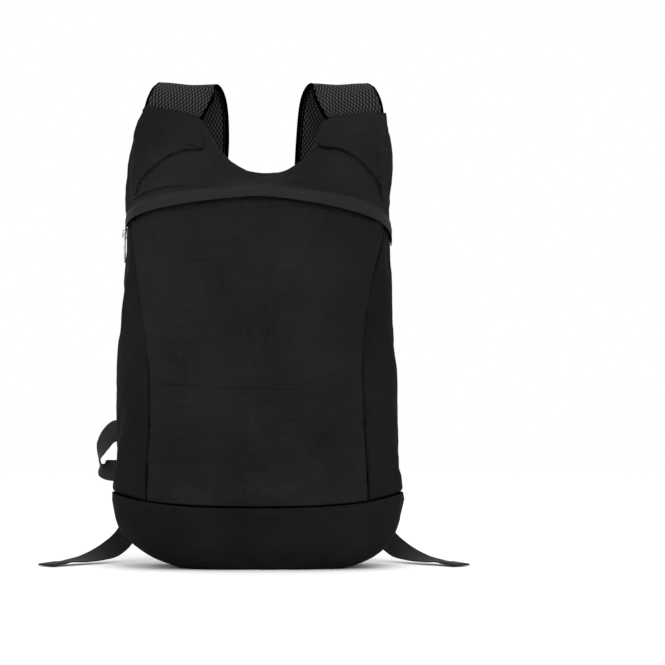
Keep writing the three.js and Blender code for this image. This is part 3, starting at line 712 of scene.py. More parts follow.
class Drape:
    """One cloth simulation for all the panels that hang in it."""

    def __init__(self) -> None:
        """Starts with no cloth."""
        self.rest: dict[bpy.types.Object, list[Vector]] = {}
        self.frames = 18
        self.cap = 5 * MM

    def hang(self, piece: bpy.types.Object, growth: float, pressure: float) -> None:
        """Pins a panel by its border and lets the rest of it move.

        Args:
            piece: the panel's skin.
            growth: how much larger the cloth is than its place, as a share.
            pressure: how hard the air inside presses it out.
        """
        border = {index for edge in self._border(piece) for index in edge}
        group = piece.vertex_groups.new(name="held")
        group.add(sorted(border), 1.0, "REPLACE")
        modifier = piece.modifiers.new("drape", "CLOTH")
        settings = modifier.settings
        settings.quality = 6
        settings.mass = 0.1
        settings.tension_stiffness = settings.compression_stiffness = 20
        settings.shear_stiffness = 5
        settings.bending_stiffness = 0.35
        settings.vertex_group_mass = group.name
        settings.pin_stiffness = 1
        settings.shrink_min = settings.shrink_max = -growth
        settings.use_pressure = True
        settings.uniform_pressure_force = pressure
        settings.effector_weights.gravity = 0.15
        modifier.collision_settings.use_collision = False
        self.rest[piece] = [vertex.co.copy() for vertex in piece.data.vertices]

    @staticmethod
    def _border(piece: bpy.types.Object) -> list[tuple[int, int]]:
        """The edges that only one face uses."""
        used: dict[tuple[int, int], int] = {}
        for polygon in piece.data.polygons:
            for key in polygon.edge_keys:
                used[key] = used.get(key, 0) + 1
        return [key for key, count in used.items() if count == 1]

    def settle(self) -> None:
        """Runs the simulation, caps each point's travel and keeps the result."""
        scene = bpy.context.scene
        for step in range(1, self.frames + 1):
            scene.frame_set(step)
        for piece, rest in self.rest.items():
            bake_modifiers(piece)
            for vertex, start in zip(piece.data.vertices, rest):
                move = vertex.co - start
                if move.length > self.cap:
                    vertex.co = start + move * (self.cap / move.length)
            piece.vertex_groups.clear()
        scene.frame_set(1)


@dataclass
class ClothPanel:
    """One sewn cloth panel of the bag, dressed from the outer face of its CAD wall."""

    node: str
    cloth: bpy.types.Material
    levels: int = 2
    after: int = 1
    growth: float = 0.015
    pressure: float = 0.6
    folds: tuple[Fold, ...] = ()
    slack: Slack = field(default_factory=Slack)
    wall: float = 2.4 * MM
    thickness: float = 1.0 * MM
    curl: float = 1.9 * MM
    curl_reach: float = 1.7 * MM
    tuck: float = 0.0
    tuck_reach: float = 9 * MM
    tuck_heights: tuple[float, float] = (0.3, 0.35)
    floor: float = 0.0

    def skin(self, drape: Drape) -> None:
        """Cuts the panel and hangs it in the drape."""
        self.piece = new_object(f"{self.node}_cloth", outer_skin(self.node, self.wall))
        subdivide(self.piece, self.levels)
        drape.hang(self.piece, self.growth, self.pressure)

    def border_tree(self) -> KDTree:
        """The border's points, to measure distances to the seams."""
        mesh = bmesh.new()
        mesh.from_mesh(self.piece.data)
        points = [vertex.co.copy() for vertex in mesh.verts if vertex.is_boundary]
        mesh.free()
        tree = KDTree(len(points))
        for index, point in enumerate(points):
            tree.insert(point, index)
        tree.balance()
        return tree

    def finish(self) -> bpy.types.Object:
        """Sculpts the folds, turns the borders in to the seams and gives the cloth its thickness."""
        if self.after:
            subdivide(self.piece, self.after)
        for fold in self.folds:
            fold.press(self.piece)
        tree = self.border_tree()
        data = self.piece.data
        normals = [normal.vector.copy() for normal in data.vertex_normals]
        for vertex, normal in zip(data.vertices, normals):
            edge, _, gap = tree.find(vertex.co)
            shift = self.slack.shift(vertex.co, gap)
            shift -= self.curl * math.exp(-((gap / self.curl_reach) ** 2))
            if self.tuck_heights[0] < edge.z < self.tuck_heights[1]:
                inside = min(1.0, gap / SEAM_BAND)
                shift -= self.tuck * inside * math.exp(-((gap / self.tuck_reach) ** 2))
            vertex.co += normal * shift
            vertex.co.z = max(vertex.co.z, self.floor)
        thicken(self.piece, self.thickness)
        return dress(self.piece, [self.cloth], [self.node])


# Strips and stitches


@dataclass
class Station:
    """One place along a strip: its middle, its width's direction, its outer normal and its width."""

    point: Vector
    sideways: Vector
    normal: Vector
    width: float
    along: float = 0.0


def spline(points: Sequence[Vector], share: float) -> Vector:
    """A point on the centripetal curve through points, share being 0 at its start and 1 at its end."""
    place = share * (len(points) - 1)
    index = min(int(place), len(points) - 2)
    weight = place - index
    second, third = points[index], points[index + 1]
    first = points[index - 1] if index else second * 2 - third
    fourth = points[index + 2] if index + 2 < len(points) else third * 2 - second
    lengths = [math.sqrt((b - a).length) for a, b in ((first, second), (second, third), (third, fourth))]
    before, span, after = lengths
    leave = (second - first) / before - (third - first) / (before + span) + (third - second) / span
    reach = (third - second) / span - (fourth - second) / (span + after) + (fourth - third) / after
    leave, reach = leave * span, reach * span
    cubic = (second - third) * 2 + leave + reach
    square = (third - second) * 3 - leave * 2 - reach
    return second + leave * weight + square * weight**2 + cubic * weight**3


@dataclass
class Strip:
    """A flat band along a curve through stations, as the CAD bands are."""

    stations: list[Station]

    def sample(self, step: float) -> list[Station]:
        """Even stations along the band, a step apart."""
        points = [station.point for station in self.stations]
        count = len(points) - 1
        dense = 24 * count
        line = [spline(points, index / dense) for index in range(dense + 1)]
        travel = [0.0]
        for before, after in zip(line, line[1:]):
            travel.append(travel[-1] + (after - before).length)
        rows = max(2, round(travel[-1] / step))
        found, index = [], 0
        for row in range(rows + 1):
            target = travel[-1] * row / rows
            while index < dense - 1 and travel[index + 1] < target:
                index += 1
            part = (target - travel[index]) / (travel[index + 1] - travel[index])
            found.append(self._station(line, index, part, target, dense))
        return found

    def _station(self, line: list[Vector], index: int, part: float, along: float, dense: int) -> Station:
        """The station at a part of one dense span."""
        tangent = (line[min(index + 2, dense)] - line[max(index - 1, 0)]).normalized()
        place = (index + part) / dense * (len(self.stations) - 1)
        first = min(int(place), len(self.stations) - 2)
        weight = place - first
        before, after = self.stations[first], self.stations[first + 1]
        sideways = before.sideways.lerp(after.sideways, weight)
        sideways = (sideways - tangent * sideways.dot(tangent)).normalized()
        width = before.width + (after.width - before.width) * weight
        point = line[index].lerp(line[index + 1], part)
        return Station(point, sideways, sideways.cross(tangent).normalized(), width, along)


@dataclass
class Section:
    """A flat round-edged cross-section with a relief on its two faces."""

    thickness: Callable[[float, float], float]
    outer: Callable[[float, float], float] = lambda across, along: 0.0
    inner: Callable[[float, float], float] = lambda across, along: 0.0
    edge: float = 0.35
    crown: Callable[[float, float], float] = lambda share, along: 0.0

    def offset(self, turn: float, station: Station) -> tuple[float, float, float]:
        """The place at a turn round the section.

        Args:
            turn: 0 to 0.5 over the outer face, 0.5 to 1 back under the inner face.
            station: the strip's place.

        Returns:
            The offsets along the width and the normal, and the flat distance round the section.
        """
        low, high = -station.width / 2, station.width / 2
        face = turn * 2 if turn <= 0.5 else (1 - turn) * 2
        share = 0.5 - 0.5 * math.cos(math.pi * face) * self.edge - (1 - self.edge) * (0.5 - face)
        across = low + (high - low) * share
        half = self.thickness(share, station.along) / 2
        rim = min(1.0, share * (high - low) / half, (1 - share) * (high - low) / half)
        lift = half * math.sqrt(max(0.0, 1 - (1 - rim) ** 2))
        rise = self.crown(share, station.along)
        if turn <= 0.5:
            return across, rise + lift + self.outer(across, station.along) * rim, across
        return across, rise - lift - self.inner(across, station.along) * rim, across


@dataclass
class FoldedTape:
    """The section of a tape folded round a strap's edge: +1 is the edge along the stations' width."""

    edge: int
    reach: float
    thickness: float
    tape: float
    lip: float = 2.0 * MM
    roll: int = 6

    def outline(self, half: float) -> list[tuple[float, float]]:
        """The closed outline for a strap of this half width, outer face first."""
        out, height = half, self.thickness / 2
        inside = height - self.tape
        angles = [math.pi * (0.5 - part / self.roll) for part in range(self.roll + 1)]
        middle = out - height * 0.8
        outer = [(middle + height * 0.8 * math.cos(a), height * math.sin(a)) for a in angles]
        hollow = [(middle + inside * 0.8 * math.cos(a), inside * math.sin(a)) for a in reversed(angles)]
        low_lip = [(out - self.reach * 0.75, -height * 0.97), (out - self.reach, -height * 0.84)]
        low_back = [(out - self.reach, -inside * 0.96), (out - self.reach * 0.7, -inside)]
        high_back = [(min(middle, out - self.lip), inside * 0.96)]
        return outer + low_lip + low_back + hollow + high_back

    def offset(self, turn: float, station: Station) -> tuple[float, float, float]:
        """The offsets along the width and the normal at a turn round the outline, and the flat distance."""
        points = self.outline(station.width / 2)
        index = round(turn * len(points)) % len(points)
        across, lift = points[index]
        return self.edge * across, lift, turn * 4 * self.reach


def loft(
    name: str,
    stations: Sequence[Station],
    section: Section | FoldedTape,
    columns: int,
) -> bpy.types.Object:
    """Sweeps a section along stations into one closed strip with its own map.

    Args:
        name: the piece's name.
        stations: even places along the strip.
        section: the cross-section.
        columns: cells round the section.

    Returns:
        The strip, with material slot 0 on its outer face and 1 on its inner face.
    """
    rows = len(stations) - 1
    mesh = bmesh.new()
    bmesh.ops.create_grid(mesh, x_segments=columns, y_segments=rows, size=0.5)
    mapping = mesh.loops.layers.uv.new(STRIP_MAP)
    places = {}
    for vertex in mesh.verts:
        turn, row = vertex.co.x + 0.5, round((vertex.co.y + 0.5) * rows)
        station = stations[row]
        across, lift, flat = section.offset(turn, station)
        point = station.point + station.sideways * across + station.normal * lift
        places[vertex] = (point, flat, station.along, turn)
    for face in mesh.faces:
        middle = sum(places[vertex][3] for vertex in face.verts) / len(face.verts)
        face.material_index = 0 if middle < 0.5 else 1
        for loop in face.loops:
            _, flat, along, _ = places[loop.vert]
            loop[mapping].uv = (flat, along)
    for vertex, (point, _, _, _) in places.items():
        vertex.co = point
    bmesh.ops.remove_doubles(mesh, verts=mesh.verts, dist=0.002 * MM)
    border = [edge for edge in mesh.edges if edge.is_boundary]
    bmesh.ops.holes_fill(mesh, edges=border, sides=0)
    bmesh.ops.recalc_face_normals(mesh, faces=mesh.faces)
    return new_object(name, mesh)


@dataclass
class StitchRow:
    """A row of short stitches laid along a line on a surface."""

    name: str
    length: float = 2.3 * MM
    pitch: float = 3.2 * MM
    thickness: float = 0.45 * MM

    def build(
        self,
        lines: Sequence[Sequence[tuple[Vector, Vector]]],
        thread: bpy.types.Material,
    ) -> bpy.types.Object:
        """Lays the stitches.

        Args:
            lines: each row's points with the surface normal at each.
            thread: the thread's material.

        Returns:
            One object with every stitch.
        """
        mesh = bmesh.new()
        for line in lines:
            for point, tangent, normal in self._places(line):
                across = tangent.cross(normal).normalized()
                basis = Matrix((tangent, across, tangent.cross(across))).transposed().to_4x4()
                size = Matrix.Diagonal((self.length / 2, self.thickness / 2, self.thickness / 2, 1))
                bmesh.ops.create_icosphere(
                    mesh,
                    subdivisions=1,
                    radius=1,
                    matrix=Matrix.Translation(point) @ basis @ size,
                )
        bmesh.ops.recalc_face_normals(mesh, faces=mesh.faces)
        made = new_object(self.name, mesh)
        made.data.materials.append(thread)
        return made

    def _places(self, line: Sequence[tuple[Vector, Vector]]) -> list[tuple[Vector, Vector, Vector]]:
        """Even places along one line, with the line's direction and the surface's normal."""
        found, travel, due = [], 0.0, self.pitch / 2
        for (start, normal), (stop, _) in zip(line, line[1:]):
            run = stop - start
            while run.length > 0 and travel + run.length >= due:
                found.append((start + run * ((due - travel) / run.length), run.normalized(), normal))
                due += self.pitch
            travel += run.length
        return found


def laid_on(piece: bpy.types.Object, line: Sequence[Vector]) -> list[tuple[Vector, Vector]]:
    """A line's points moved onto a piece's surface, each with the surface normal."""
    tree = BVHTree.FromObject(piece, bpy.context.evaluated_depsgraph_get())
    found = [tree.find_nearest(point) for point in line]
    return [(point, normal) for point, normal, _, _ in found]


# The bag


def fold_line(*points: tuple[float, float]) -> tuple[tuple[float, float], ...]:
    """A line from millimetres to metres."""
    return tuple((x * MM, z * MM) for x, z in points)


class BagBody:
    """The sewn shell: base, front, sides, back and the folded yoke."""

    LEFT_WING = fold_line(
        (-112.2, 340), (-109.9, 348.2), (-107.2, 355.2), (-102.6, 361), (-96.1, 367.1), (-89.7, 372.1),
        (-82.3, 377.2), (-75, 380.9), (-67.6, 382.8), (-51, 383.6),
    )
    LEFT_HOOK = fold_line((-66, 388.5), (-58, 386.5), (-52, 384.4))
    LEFT_LOW = fold_line((-112.7, 337), (-105, 343), (-90, 347.6), (-80, 349.2), (-70, 350.5))
    RIGHT_WING = fold_line(
        (57, 386.4), (63.9, 385), (72.2, 384.6), (78.7, 382.6), (85.1, 379.4), (91.5, 375.2),
        (97.1, 370.6), (102.6, 364.7), (107.2, 358.3), (111.8, 350.9), (114, 342), (116, 334),
    )
    RIGHT_HOOK = fold_line((54.5, 391.5), (56.5, 388.5), (60, 386))
    HEM_FLOOR = 0.362
    HEM_DROP = 4 * MM
    HEM_DEPTH = 2 * MM
    FRONT_LINE = fold_line((-99.8, 168.8), (-60, 166), (-21.6, 164.2), (40, 162.6), (97, 161.8))

    def __init__(
        self,
        cloth: bpy.types.Material,
        painted_shade_cloth: bpy.types.Material,
        thread: bpy.types.Material,
    ) -> None:
        """Names the panels."""
        self.thread = thread
        long = {"groove": 1.4 * MM, "lap": 2.6 * MM, "swell": 9 * MM, "drop": 0.9 * MM}
        short = {"groove": 0.6 * MM, "lap": 1.0 * MM, "swell": 5 * MM, "drop": 0.3 * MM}
        wings = (
            Fold(self.LEFT_WING, **long),
            Fold(self.RIGHT_WING, **long),
            Fold(self.LEFT_HOOK, **short),
            Fold(self.RIGHT_HOOK, **short),
            Fold(self.LEFT_LOW, groove=0.9 * MM, lap=1.5 * MM, swell=5 * MM, drop=0.5 * MM),
        )
        middle = (Fold(self.FRONT_LINE, groove=0.5 * MM, lap=0.3 * MM, swell=3 * MM),)
        gathered = Slack(pucker=2.2 * MM, pucker_cell=5.2 * MM, pucker_reach=8 * MM, pucker_floor=0.29)
        smooth = Slack(broad=0.5 * MM, fine=0.12 * MM)
        self.panels = [
            # The base and side panels take the darker copy of the polyester: painted shade.
            ClothPanel("base_panel", painted_shade_cloth, growth=0.01, curl=0.7 * MM, after=0),
            ClothPanel(
                "front_panel",
                cloth,
                folds=middle,
                slack=gathered,
                tuck=3.2 * MM,
                tuck_heights=(0.318, 0.35),
            ),
            ClothPanel("side_panel_left", painted_shade_cloth, growth=0.009, pressure=0.3),
            ClothPanel("side_panel_right", painted_shade_cloth, growth=0.009, pressure=0.3),
            ClothPanel("back_panel", cloth, after=0, growth=0.02, pressure=0.3),
            ClothPanel(
                "yoke",
                cloth,
                folds=wings,
                slack=smooth,
                growth=0.012,
                pressure=0.25,
                tuck=1.6 * MM,
                tuck_reach=6 * MM,
            ),
        ]

    def build(self) -> None:
        """Cuts, drapes and finishes every panel."""
        drape = Drape()
        for panel in self.panels:
            panel.skin(drape)
        drape.settle()
        for panel in self.panels:
            panel.finish()
        self.hem(self.panels[-1].piece)

    def hem(self, yoke: bpy.types.Object) -> bpy.types.Object:
        """Stitches a little below the top edge of the yoke, from wing to wing."""
        mesh = bmesh.new()
        mesh.from_mesh(yoke.data)
        border = [vertex.co.copy() for vertex in mesh.verts if vertex.is_boundary]
        mesh.free()
        edge = [point for point in border if point.z > self.HEM_FLOOR]
        edge.sort(key=lambda point: point.x)
        row = [point - UP * self.HEM_DROP - Vector((0, self.HEM_DEPTH, 0)) for point in edge[::2]]
        made = StitchRow("yoke_hem_stitches").build([laid_on(yoke, row)], self.thread)
        return dress(made, [self.thread])


@dataclass
class Zip:
    """The rain flap with its zip slider and puller."""

    flap_cloth: bpy.types.Material
    nickel: bpy.types.Material
    thread: bpy.types.Material
    wall: float = 2.0 * MM
    thickness: float = 1.1 * MM
    roll: float = 0.8 * MM
    roll_place: float = 4.6 * MM
    roll_width: float = 1.5 * MM
    seam: float = 0.5 * MM
    seam_depth: float = 0.5 * MM
    seam_width: float = 0.8 * MM
    loose: float = 0.5 * MM
    loose_cell: tuple[float, float] = (9 * MM, 17 * MM)
    pull: float = 0.22 * MM
    pull_cell: tuple[float, float] = (5 * MM, 3.2 * MM)
    inner_share: float = -0.8
    bevel: float = 0.22 * MM
    end_press: float = 1.4 * MM
    end_power: int = 6
    spans: int = 40
    columns: int = 44

    def edges(self) -> tuple[list[Vector], list[Vector]]:
        """The flap's upper and lower edge, from left to right."""
        mesh = outer_skin("zip_flap", self.wall)
        first, second = (
            sorted(run, key=lambda point: math.atan2(point.x, -point.y)) for run in border_runs(mesh)[:2]
        )
        mesh.free()
        middle = len(first) // 2
        return (first, second) if first[middle].z > second[middle].z else (second, first)

    def stations(self, step: float) -> list[Station]:
        """Even places along the flap."""
        upper, lower = self.edges()
        places = []
        for index in range(self.spans + 1):
            share = index / self.spans
            high, low = spline(upper, share), spline(lower, share)
            across = high - low
            middle = (high + low) / 2
            end = abs(2 * index / self.spans - 1) ** self.end_power
            middle -= Vector((middle.x, 0, 0)).normalized() * (self.end_press * end)
            places.append(Station(middle, across.normalized(), UP, across.length))
        return Strip(places).sample(step)

    def flap(self) -> bpy.types.Object:
        """A folded band with a rolled upper edge and the groove of a row of stitches along its middle."""

        def lift(across: float, along: float) -> float:
            """The rolled upper edge, the groove of the stitches and a little looseness."""
            roll = self.roll * math.exp(-(((across - self.roll_place) / self.roll_width) ** 2))
            groove = self.seam_depth * math.exp(-(((across - self.seam) / self.seam_width) ** 2))
            wide, long = self.loose_cell
            loose = self.loose * noise.noise(Vector((across / wide, along / long, 0)))
            wide, long = self.pull_cell
            pull = self.pull * noise.noise(Vector((across / wide, along / long, 5)))
            return roll - groove + loose + pull

        stations = self.stations(1.2 * MM)
        for station in stations:
            station.point = station.point - station.normal * (self.thickness / 2)
        section = Section(
            thickness=lambda share, along: self.thickness,
            outer=lift,
            inner=lambda across, along: self.inner_share * lift(across, along),
            edge=0.1,
        )
        piece = loft("zip_flap_band", stations, section, self.columns)
        return dress(piece, [self.flap_cloth, self.flap_cloth], ["zip_flap"])

    def stitches(self, band: bpy.types.Object) -> bpy.types.Object:
        """The row of stitches along the flap."""
        line = [station.point + station.sideways * self.seam for station in self.stations(3 * MM)]
        made = StitchRow("zip_flap_stitches").build([laid_on(band, line)], self.thread)
        return dress(made, [self.thread])

    def metal(self, node: str, body: str) -> bpy.types.Object:
        """A cast piece with softened corners."""
        piece = softened(f"{node}_cast", node, self.bevel, 2, CORNER_ANGLE)
        return dress(piece, [self.nickel], [node], body)

    def build(self) -> None:
        """Builds the flap, the slider and the puller."""
        self.stitches(self.flap())
        self.metal("zip_slider", BAG)
        self.metal("zip_pull", PULLER)


@dataclass
class Harness:
    """A shoulder strap with its bound edges, adjuster and webbing, on one side."""

    side: Side
    mesh_outer: bpy.types.Material
    mesh_inner: bpy.types.Material
    tape: bpy.types.Material
    webbing: bpy.types.Material
    plastic: bpy.types.Material
    thread: bpy.types.Material
    strap_width: float = 58 * MM
    strap_thickness: float = 4.6 * MM
    crest: float = 451 * MM
    right_spread: float = 1.035
    right_tilt: float = 0.4
    reach: float = 98 * MM
    wing_width: float = 112 * MM
    top_shift: float = 4.6 * MM
    zip_height: float = 339 * MM
    wing_top: float = 429 * MM
    crest_place: float = 40 * MM
    crest_spread: float = 22 * MM
    crest_arch: float = 3.5 * MM
    binding_width: float = 6 * MM
    binding_thickness: float = 6.2 * MM
    tape_thickness: float = 0.7 * MM
    webbing_width: float = 20 * MM
    webbing_thickness: float = 1.5 * MM
    webbing_reach: float = 199 * MM
    right_tail: float = 0.965
    rear_depth: float = 46 * MM
    seam_height: float = 56 * MM
    left_wall: float = 132.7 * MM
    right_wall: float = 133.0 * MM
    base_proud: float = 1.2 * MM
    gap: float = 0.3 * MM
    lock_bar: float = 3 * MM
    lock_slot: float = 3.6 * MM
    lock_thickness: float = 3 * MM
    lock_bevel: float = 0.6 * MM
    tab_length: float = 14 * MM
    tail_spread: float = 7 * MM
    hem: float = 20 * MM
    hem_share: float = 1.3
    single_share: float = 0.75
    pad_inset: float = 0.5 * MM
    pad_relief: float = 0.45 * MM
    pad_step: float = 0.9 * MM
    pad_columns: int = 124
    stitch_place: float = 0.72

    STRAP = (
        (0.775, 0.507, 0.927, 0.93, 0.12),
        (0.745, 0.509, 0.955, 0.98, 0.12),
        (0.69, 0.54, 0.98, 1.01, 0.1),
        (0.635, 0.64, 1, 1.02, 0.08),
        (0.575, 0.77, 0.98, 1.03, 0.04),
        (0.545, 0.86, 0.9, 1.03, 0),
        (0.56, 0.95, 0.78, 1, 0),
        (0.64, 1, 0.63, 0.95, 0),
        (0.75, 0.98, 0.48, 0.88, 0),
        (0.85, 0.86, 0.34, 0.8, 0),
        (0.89, 0.79, 0.285, 0.72, 0),
    )
    TAIL = (
        (0.51, 1.72, 1.55, (1, 0, 0)),
        (0.57, 1.7, 0.95, (0.9, 0, 0.3)),
        (0.64, 1.35, 0.42, (0.72, 0, 0.69)),
        (0.695, 1.1, 0.235, (0.72, 0.2, 0.64)),
        (0.75, 0.86, 0.145, (0.55, 0.6, 0.42)),
        (0.815, 0.58, 0.085, (0.4, 0.88, 0.2)),
        (0.885, 0.32, 0.062, (0.4, 0.9, 0)),
        (0.935, 0.1, 0.046, (0.5, 0.8, 0)),
        (0.975, -0.12, 0.034, (0.6, 0.7, 0)),
    )

    def __post_init__(self) -> None:
        """Works out the strap and the adjuster's place."""
        self.strap = Strip([self._strap_station(row) for row in self.STRAP])
        ends = self.strap.sample(12 * MM)
        last, before = ends[-1], ends[-2]
        self.origin = last.point
        self.down = (last.point - before.point).normalized()
        self.flat = (last.sideways - self.down * last.sideways.dot(self.down)).normalized()
        self.outwards = self.flat.cross(self.down).normalized()
        if self.outwards.y < 0:
            self.outwards.negate()
        corner = math.hypot(self.lock_thickness, self.lock_bar) / 2
        self.wrap_radius = corner + self.gap + self.webbing_thickness / 2
        self.first_bar = self.gap + self.wrap_radius
        self.last_bar = self.first_bar + 2 * (self.lock_bar + self.lock_slot)

    def _strap_station(self, row: tuple[float, ...]) -> Station:
        """The strap's place from a row of shares: out, back, height, width and tilt."""
        out, back, height, width, tilt = row
        if self.side is Side.RIGHT:
            out, tilt = out * self.right_spread, tilt * self.right_tilt
        level = self.crest * height
        rise = min(1.0, max(0.0, (level - self.zip_height) / (self.wing_top - self.zip_height)))
        lean = self.top_shift * rise * rise * (3 - 2 * rise)
        point = Vector((self.side.value * self.wing_width * out + lean, self.reach * back, level))
        sideways = Vector((1, 0, self.side.value * tilt))
        return Station(point, sideways, UP, self.strap_width * width)

    def lock_point(self, down: float, out: float) -> Vector:
        """A place on the adjuster: how far down the strap, and how far from its middle plane."""
        return self.origin + self.down * down + self.outwards * out

    def _wrap(self, bar: float, radius: float, over: int) -> list[Vector]:
        """Half a turn of webbing round one bar."""
        angles = [math.pi * part / 4 for part in range(5)]
        return [self.lock_point(bar + over * radius * math.sin(a), -radius * math.cos(a)) for a in angles]

    def _flat_stations(self, points: Sequence[Vector], across: Vector) -> list[Station]:
        """Stations that share one width direction."""
        return [Station(point, across, UP, self.webbing_width) for point in points]

    def pad(self) -> bpy.types.Object:
        """The air-mesh pad between the two bindings, ribbed outside and netted inside."""
        margin = self.tape_thickness + self.gap
        ribs, net = AirMesh(Face.OUTER), AirMesh(Face.INNER)
        stations = self.strap.sample(self.pad_step)
        for station in stations:
            station.width -= 2 * margin

        def crown(share: float, along: float) -> float:
            """The pad's arch across its width, which is highest where the strap turns over."""
            bend = math.exp(-(((along - self.crest_place) / self.crest_spread) ** 2))
            return self.crest_arch * bend * (1 - (2 * share - 1) ** 2)

        section = Section(
            thickness=lambda share, along: self.strap_thickness - self.pad_inset,
            outer=lambda across, along: self.pad_relief * (ribs.height(across, along) - 0.5),
            inner=lambda across, along: self.pad_relief * (net.height(across, along) - 0.5),
            edge=0.1,
            crown=crown,
        )
        piece = loft(f"strap_pad_{self.side.label}", stations, section, self.pad_columns)
        dress(piece, [self.mesh_outer, self.mesh_inner], [f"shoulder_strap_{self.side.label}"])
        return piece

    def binding(self, edge: int, node: str) -> bpy.types.Object:
        """Tape folded round one edge of the strap, with a narrow lip outside and a wide one inside."""
        section = FoldedTape(edge, self.binding_width, self.binding_thickness, self.tape_thickness)
        piece = loft(f"{node}_tape", self.strap.sample(2.6 * MM), section, len(section.outline(1.0)))
        rounding = piece.modifiers.new("rounding", "SUBSURF")
        rounding.levels = rounding.render_levels = 1
        return dress(piece, [self.tape, self.tape], [node])

    def strap_stitches(self) -> bpy.types.Object:
        """A row of stitches on the inner lip of each binding."""
        lines = []
        for edge in (-1, 1):
            line = []
            for station in self.strap.sample(4 * MM):
                shift = edge * (station.width / 2 - self.binding_width * self.stitch_place)
                lift = self.binding_thickness * 0.5
                point = station.point + station.sideways * shift - station.normal * lift
                line.append((point, -station.normal))
            lines.append(line)
        row = StitchRow(f"strap_stitches_{self.side.label}")
        return dress(row.build(lines, self.thread), [self.thread])

    def webbing_strip(
        self,
        name: str,
        node: str,
        stations: list[Station],
        fold: float = 0.0,
    ) -> bpy.types.Object:
        """One length of webbing that stands for a CAD node.

        Args:
            name: the piece's name.
            node: the CAD node that it replaces.
            stations: places along it.
            fold: the length of the folded hem at its end, in metres.

        Returns:
            The webbing.
        """
        places = Strip(stations).sample(1.4 * MM)
        total = places[-1].along
        weave = Webbing()

        def thickness(share: float, along: float) -> float:
            """Single webbing, doubled over the hem."""
            doubled = fold and along > total - fold
            return self.webbing_thickness * (self.hem_share if doubled else self.single_share)

        section = Section(thickness, weave.relief, weave.relief, edge=BAND_EDGE)
        piece = loft(name, places, section, BAND_COLUMNS)
        return dress(piece, [self.webbing, self.webbing], [node])

    def tab(self) -> bpy.types.Object:
        """The short loop of webbing that holds the adjuster to the strap."""
        offset = max(self.wrap_radius, self.strap_thickness / 2 + self.gap + self.webbing_thickness / 2)
        length = self.tab_length
        points = [
            self.lock_point(-length, -offset),
            self.lock_point(-length / 2, -offset),
            *self._wrap(self.first_bar, offset, 1),
            self.lock_point(-length / 2, offset),
            self.lock_point(-length, offset),
        ]
        stations = self._flat_stations(points, self.flat)
        return self.webbing_strip(f"adjuster_tab_{self.side.label}", f"lock_tab_{self.side.label}", stations)

    def long_webbing(self) -> bpy.types.Object:
        """The webbing from the base corner round the adjuster's last bar and down to the floor."""
        side = self.side.value
        wall = {Side.LEFT: self.left_wall, Side.RIGHT: self.right_wall}[self.side]
        anchor_x = side * (wall - self.webbing_width)
        anchor_y = self.rear_depth + self.base_proud + self.webbing_thickness + self.gap
        east = Vector((1, 0, 0))
        foot = [
            Vector((anchor_x, anchor_y, self.seam_height)),
            Vector((anchor_x, anchor_y + 3 * MM, self.seam_height + 18 * MM)),
        ]
        wrap = [
            self.lock_point(self.last_bar + self.tail_spread, -self.wrap_radius),
            *self._wrap(self.last_bar, self.wrap_radius, -1),
            self.lock_point(self.last_bar + self.tail_spread, self.wrap_radius + 1 * MM),
        ]
        tail = []
        reach = self.webbing_reach * (self.right_tail if self.side is Side.RIGHT else 1)
        for out, back, height, across in self.TAIL:
            point = Vector((side * reach * out, self.rear_depth * back, self.seam_height * height))
            direction = Vector((across[0], side * across[1], side * across[2]))
            tail.append(Station(point, direction, UP, self.webbing_width))
        stations = self._flat_stations(foot, east) + self._flat_stations(wrap, self.flat) + tail
        name = f"strap_webbing_{self.side.label}"
        return self.webbing_strip(name, f"adjust_webbing_{self.side.label}", stations, fold=self.hem)

    def adjuster(self) -> bpy.types.Object:
        """The moulded ladder lock with softened edges."""
        node = f"ladder_lock_{self.side.label}"
        piece = softened(f"adjuster_{self.side.label}", node, self.lock_bevel, 3, 0.0)
        return dress(piece, [self.plastic], [node])

    def build(self) -> None:
        """Builds the strap from the wing down to the webbing's end on the floor."""
        label = self.side.label
        self.pad()
        self.binding(-self.side.value, f"strap_binding_{label}_inner")
        self.binding(self.side.value, f"strap_binding_{label}_outer")
        self.strap_stitches()
        self.tab()
        self.adjuster()
        self.long_webbing()


@dataclass
class SideLoop:
    """The webbing loop on the left side, twisted so that its lower leg turns to the light."""

    webbing: bpy.types.Material
    width: float = 20 * MM
    thickness: float = 1.5 * MM
    thinness: float = 0.9
    step: float = 1.2 * MM
    reach: float = 149 * MM
    depth: float = 46 * MM
    height: float = 125 * MM
    upper_seat: float = 130.6 * MM
    lower_seat: float = 131.3 * MM

    ROWS = (
        (0.85, 0.86, 1, (0, 0, 1)),
        (0.9, 0.9, 1, (0.1, 0.1, 1)),
        (0.945, 0.95, 0.96, (0.5, 0.5, 0.7)),
        (0.98, 0.95, 0.89, (0.7, 0.7, 0.1)),
        (0.995, 0.94, 0.82, (0.35, 0.94, 0)),
        (1, 0.92, 0.765, (0, 0.97, -0.25)),
        (0.985, 0.9, 0.715, (0, 0.5, -0.87)),
        (0.925, 0.88, 0.7, (0, 0.05, -1)),
        (0.85, 0.86, 0.7, (0, 0, -1)),
    )

    def build(self) -> None:
        """Builds the loop."""
        stations = []
        for out, back, height, across in self.ROWS:
            point = Vector((-self.reach * out, self.depth * back, self.height * height))
            direction = Vector((-across[0], across[1], across[2]))
            stations.append(Station(point, direction, UP, self.width))
        stations[0].point.x = -self.upper_seat
        stations[-1].point.x = -self.lower_seat
        weave = Webbing()
        section = Section(
            thickness=lambda share, along: self.thickness * self.thinness,
            outer=weave.relief,
            inner=weave.relief,
            edge=BAND_EDGE,
        )
        piece = loft("side_loop_webbing", Strip(stations).sample(self.step), section, BAND_COLUMNS)
        dress(piece, [self.webbing, self.webbing], ["side_loop"])


# The studio


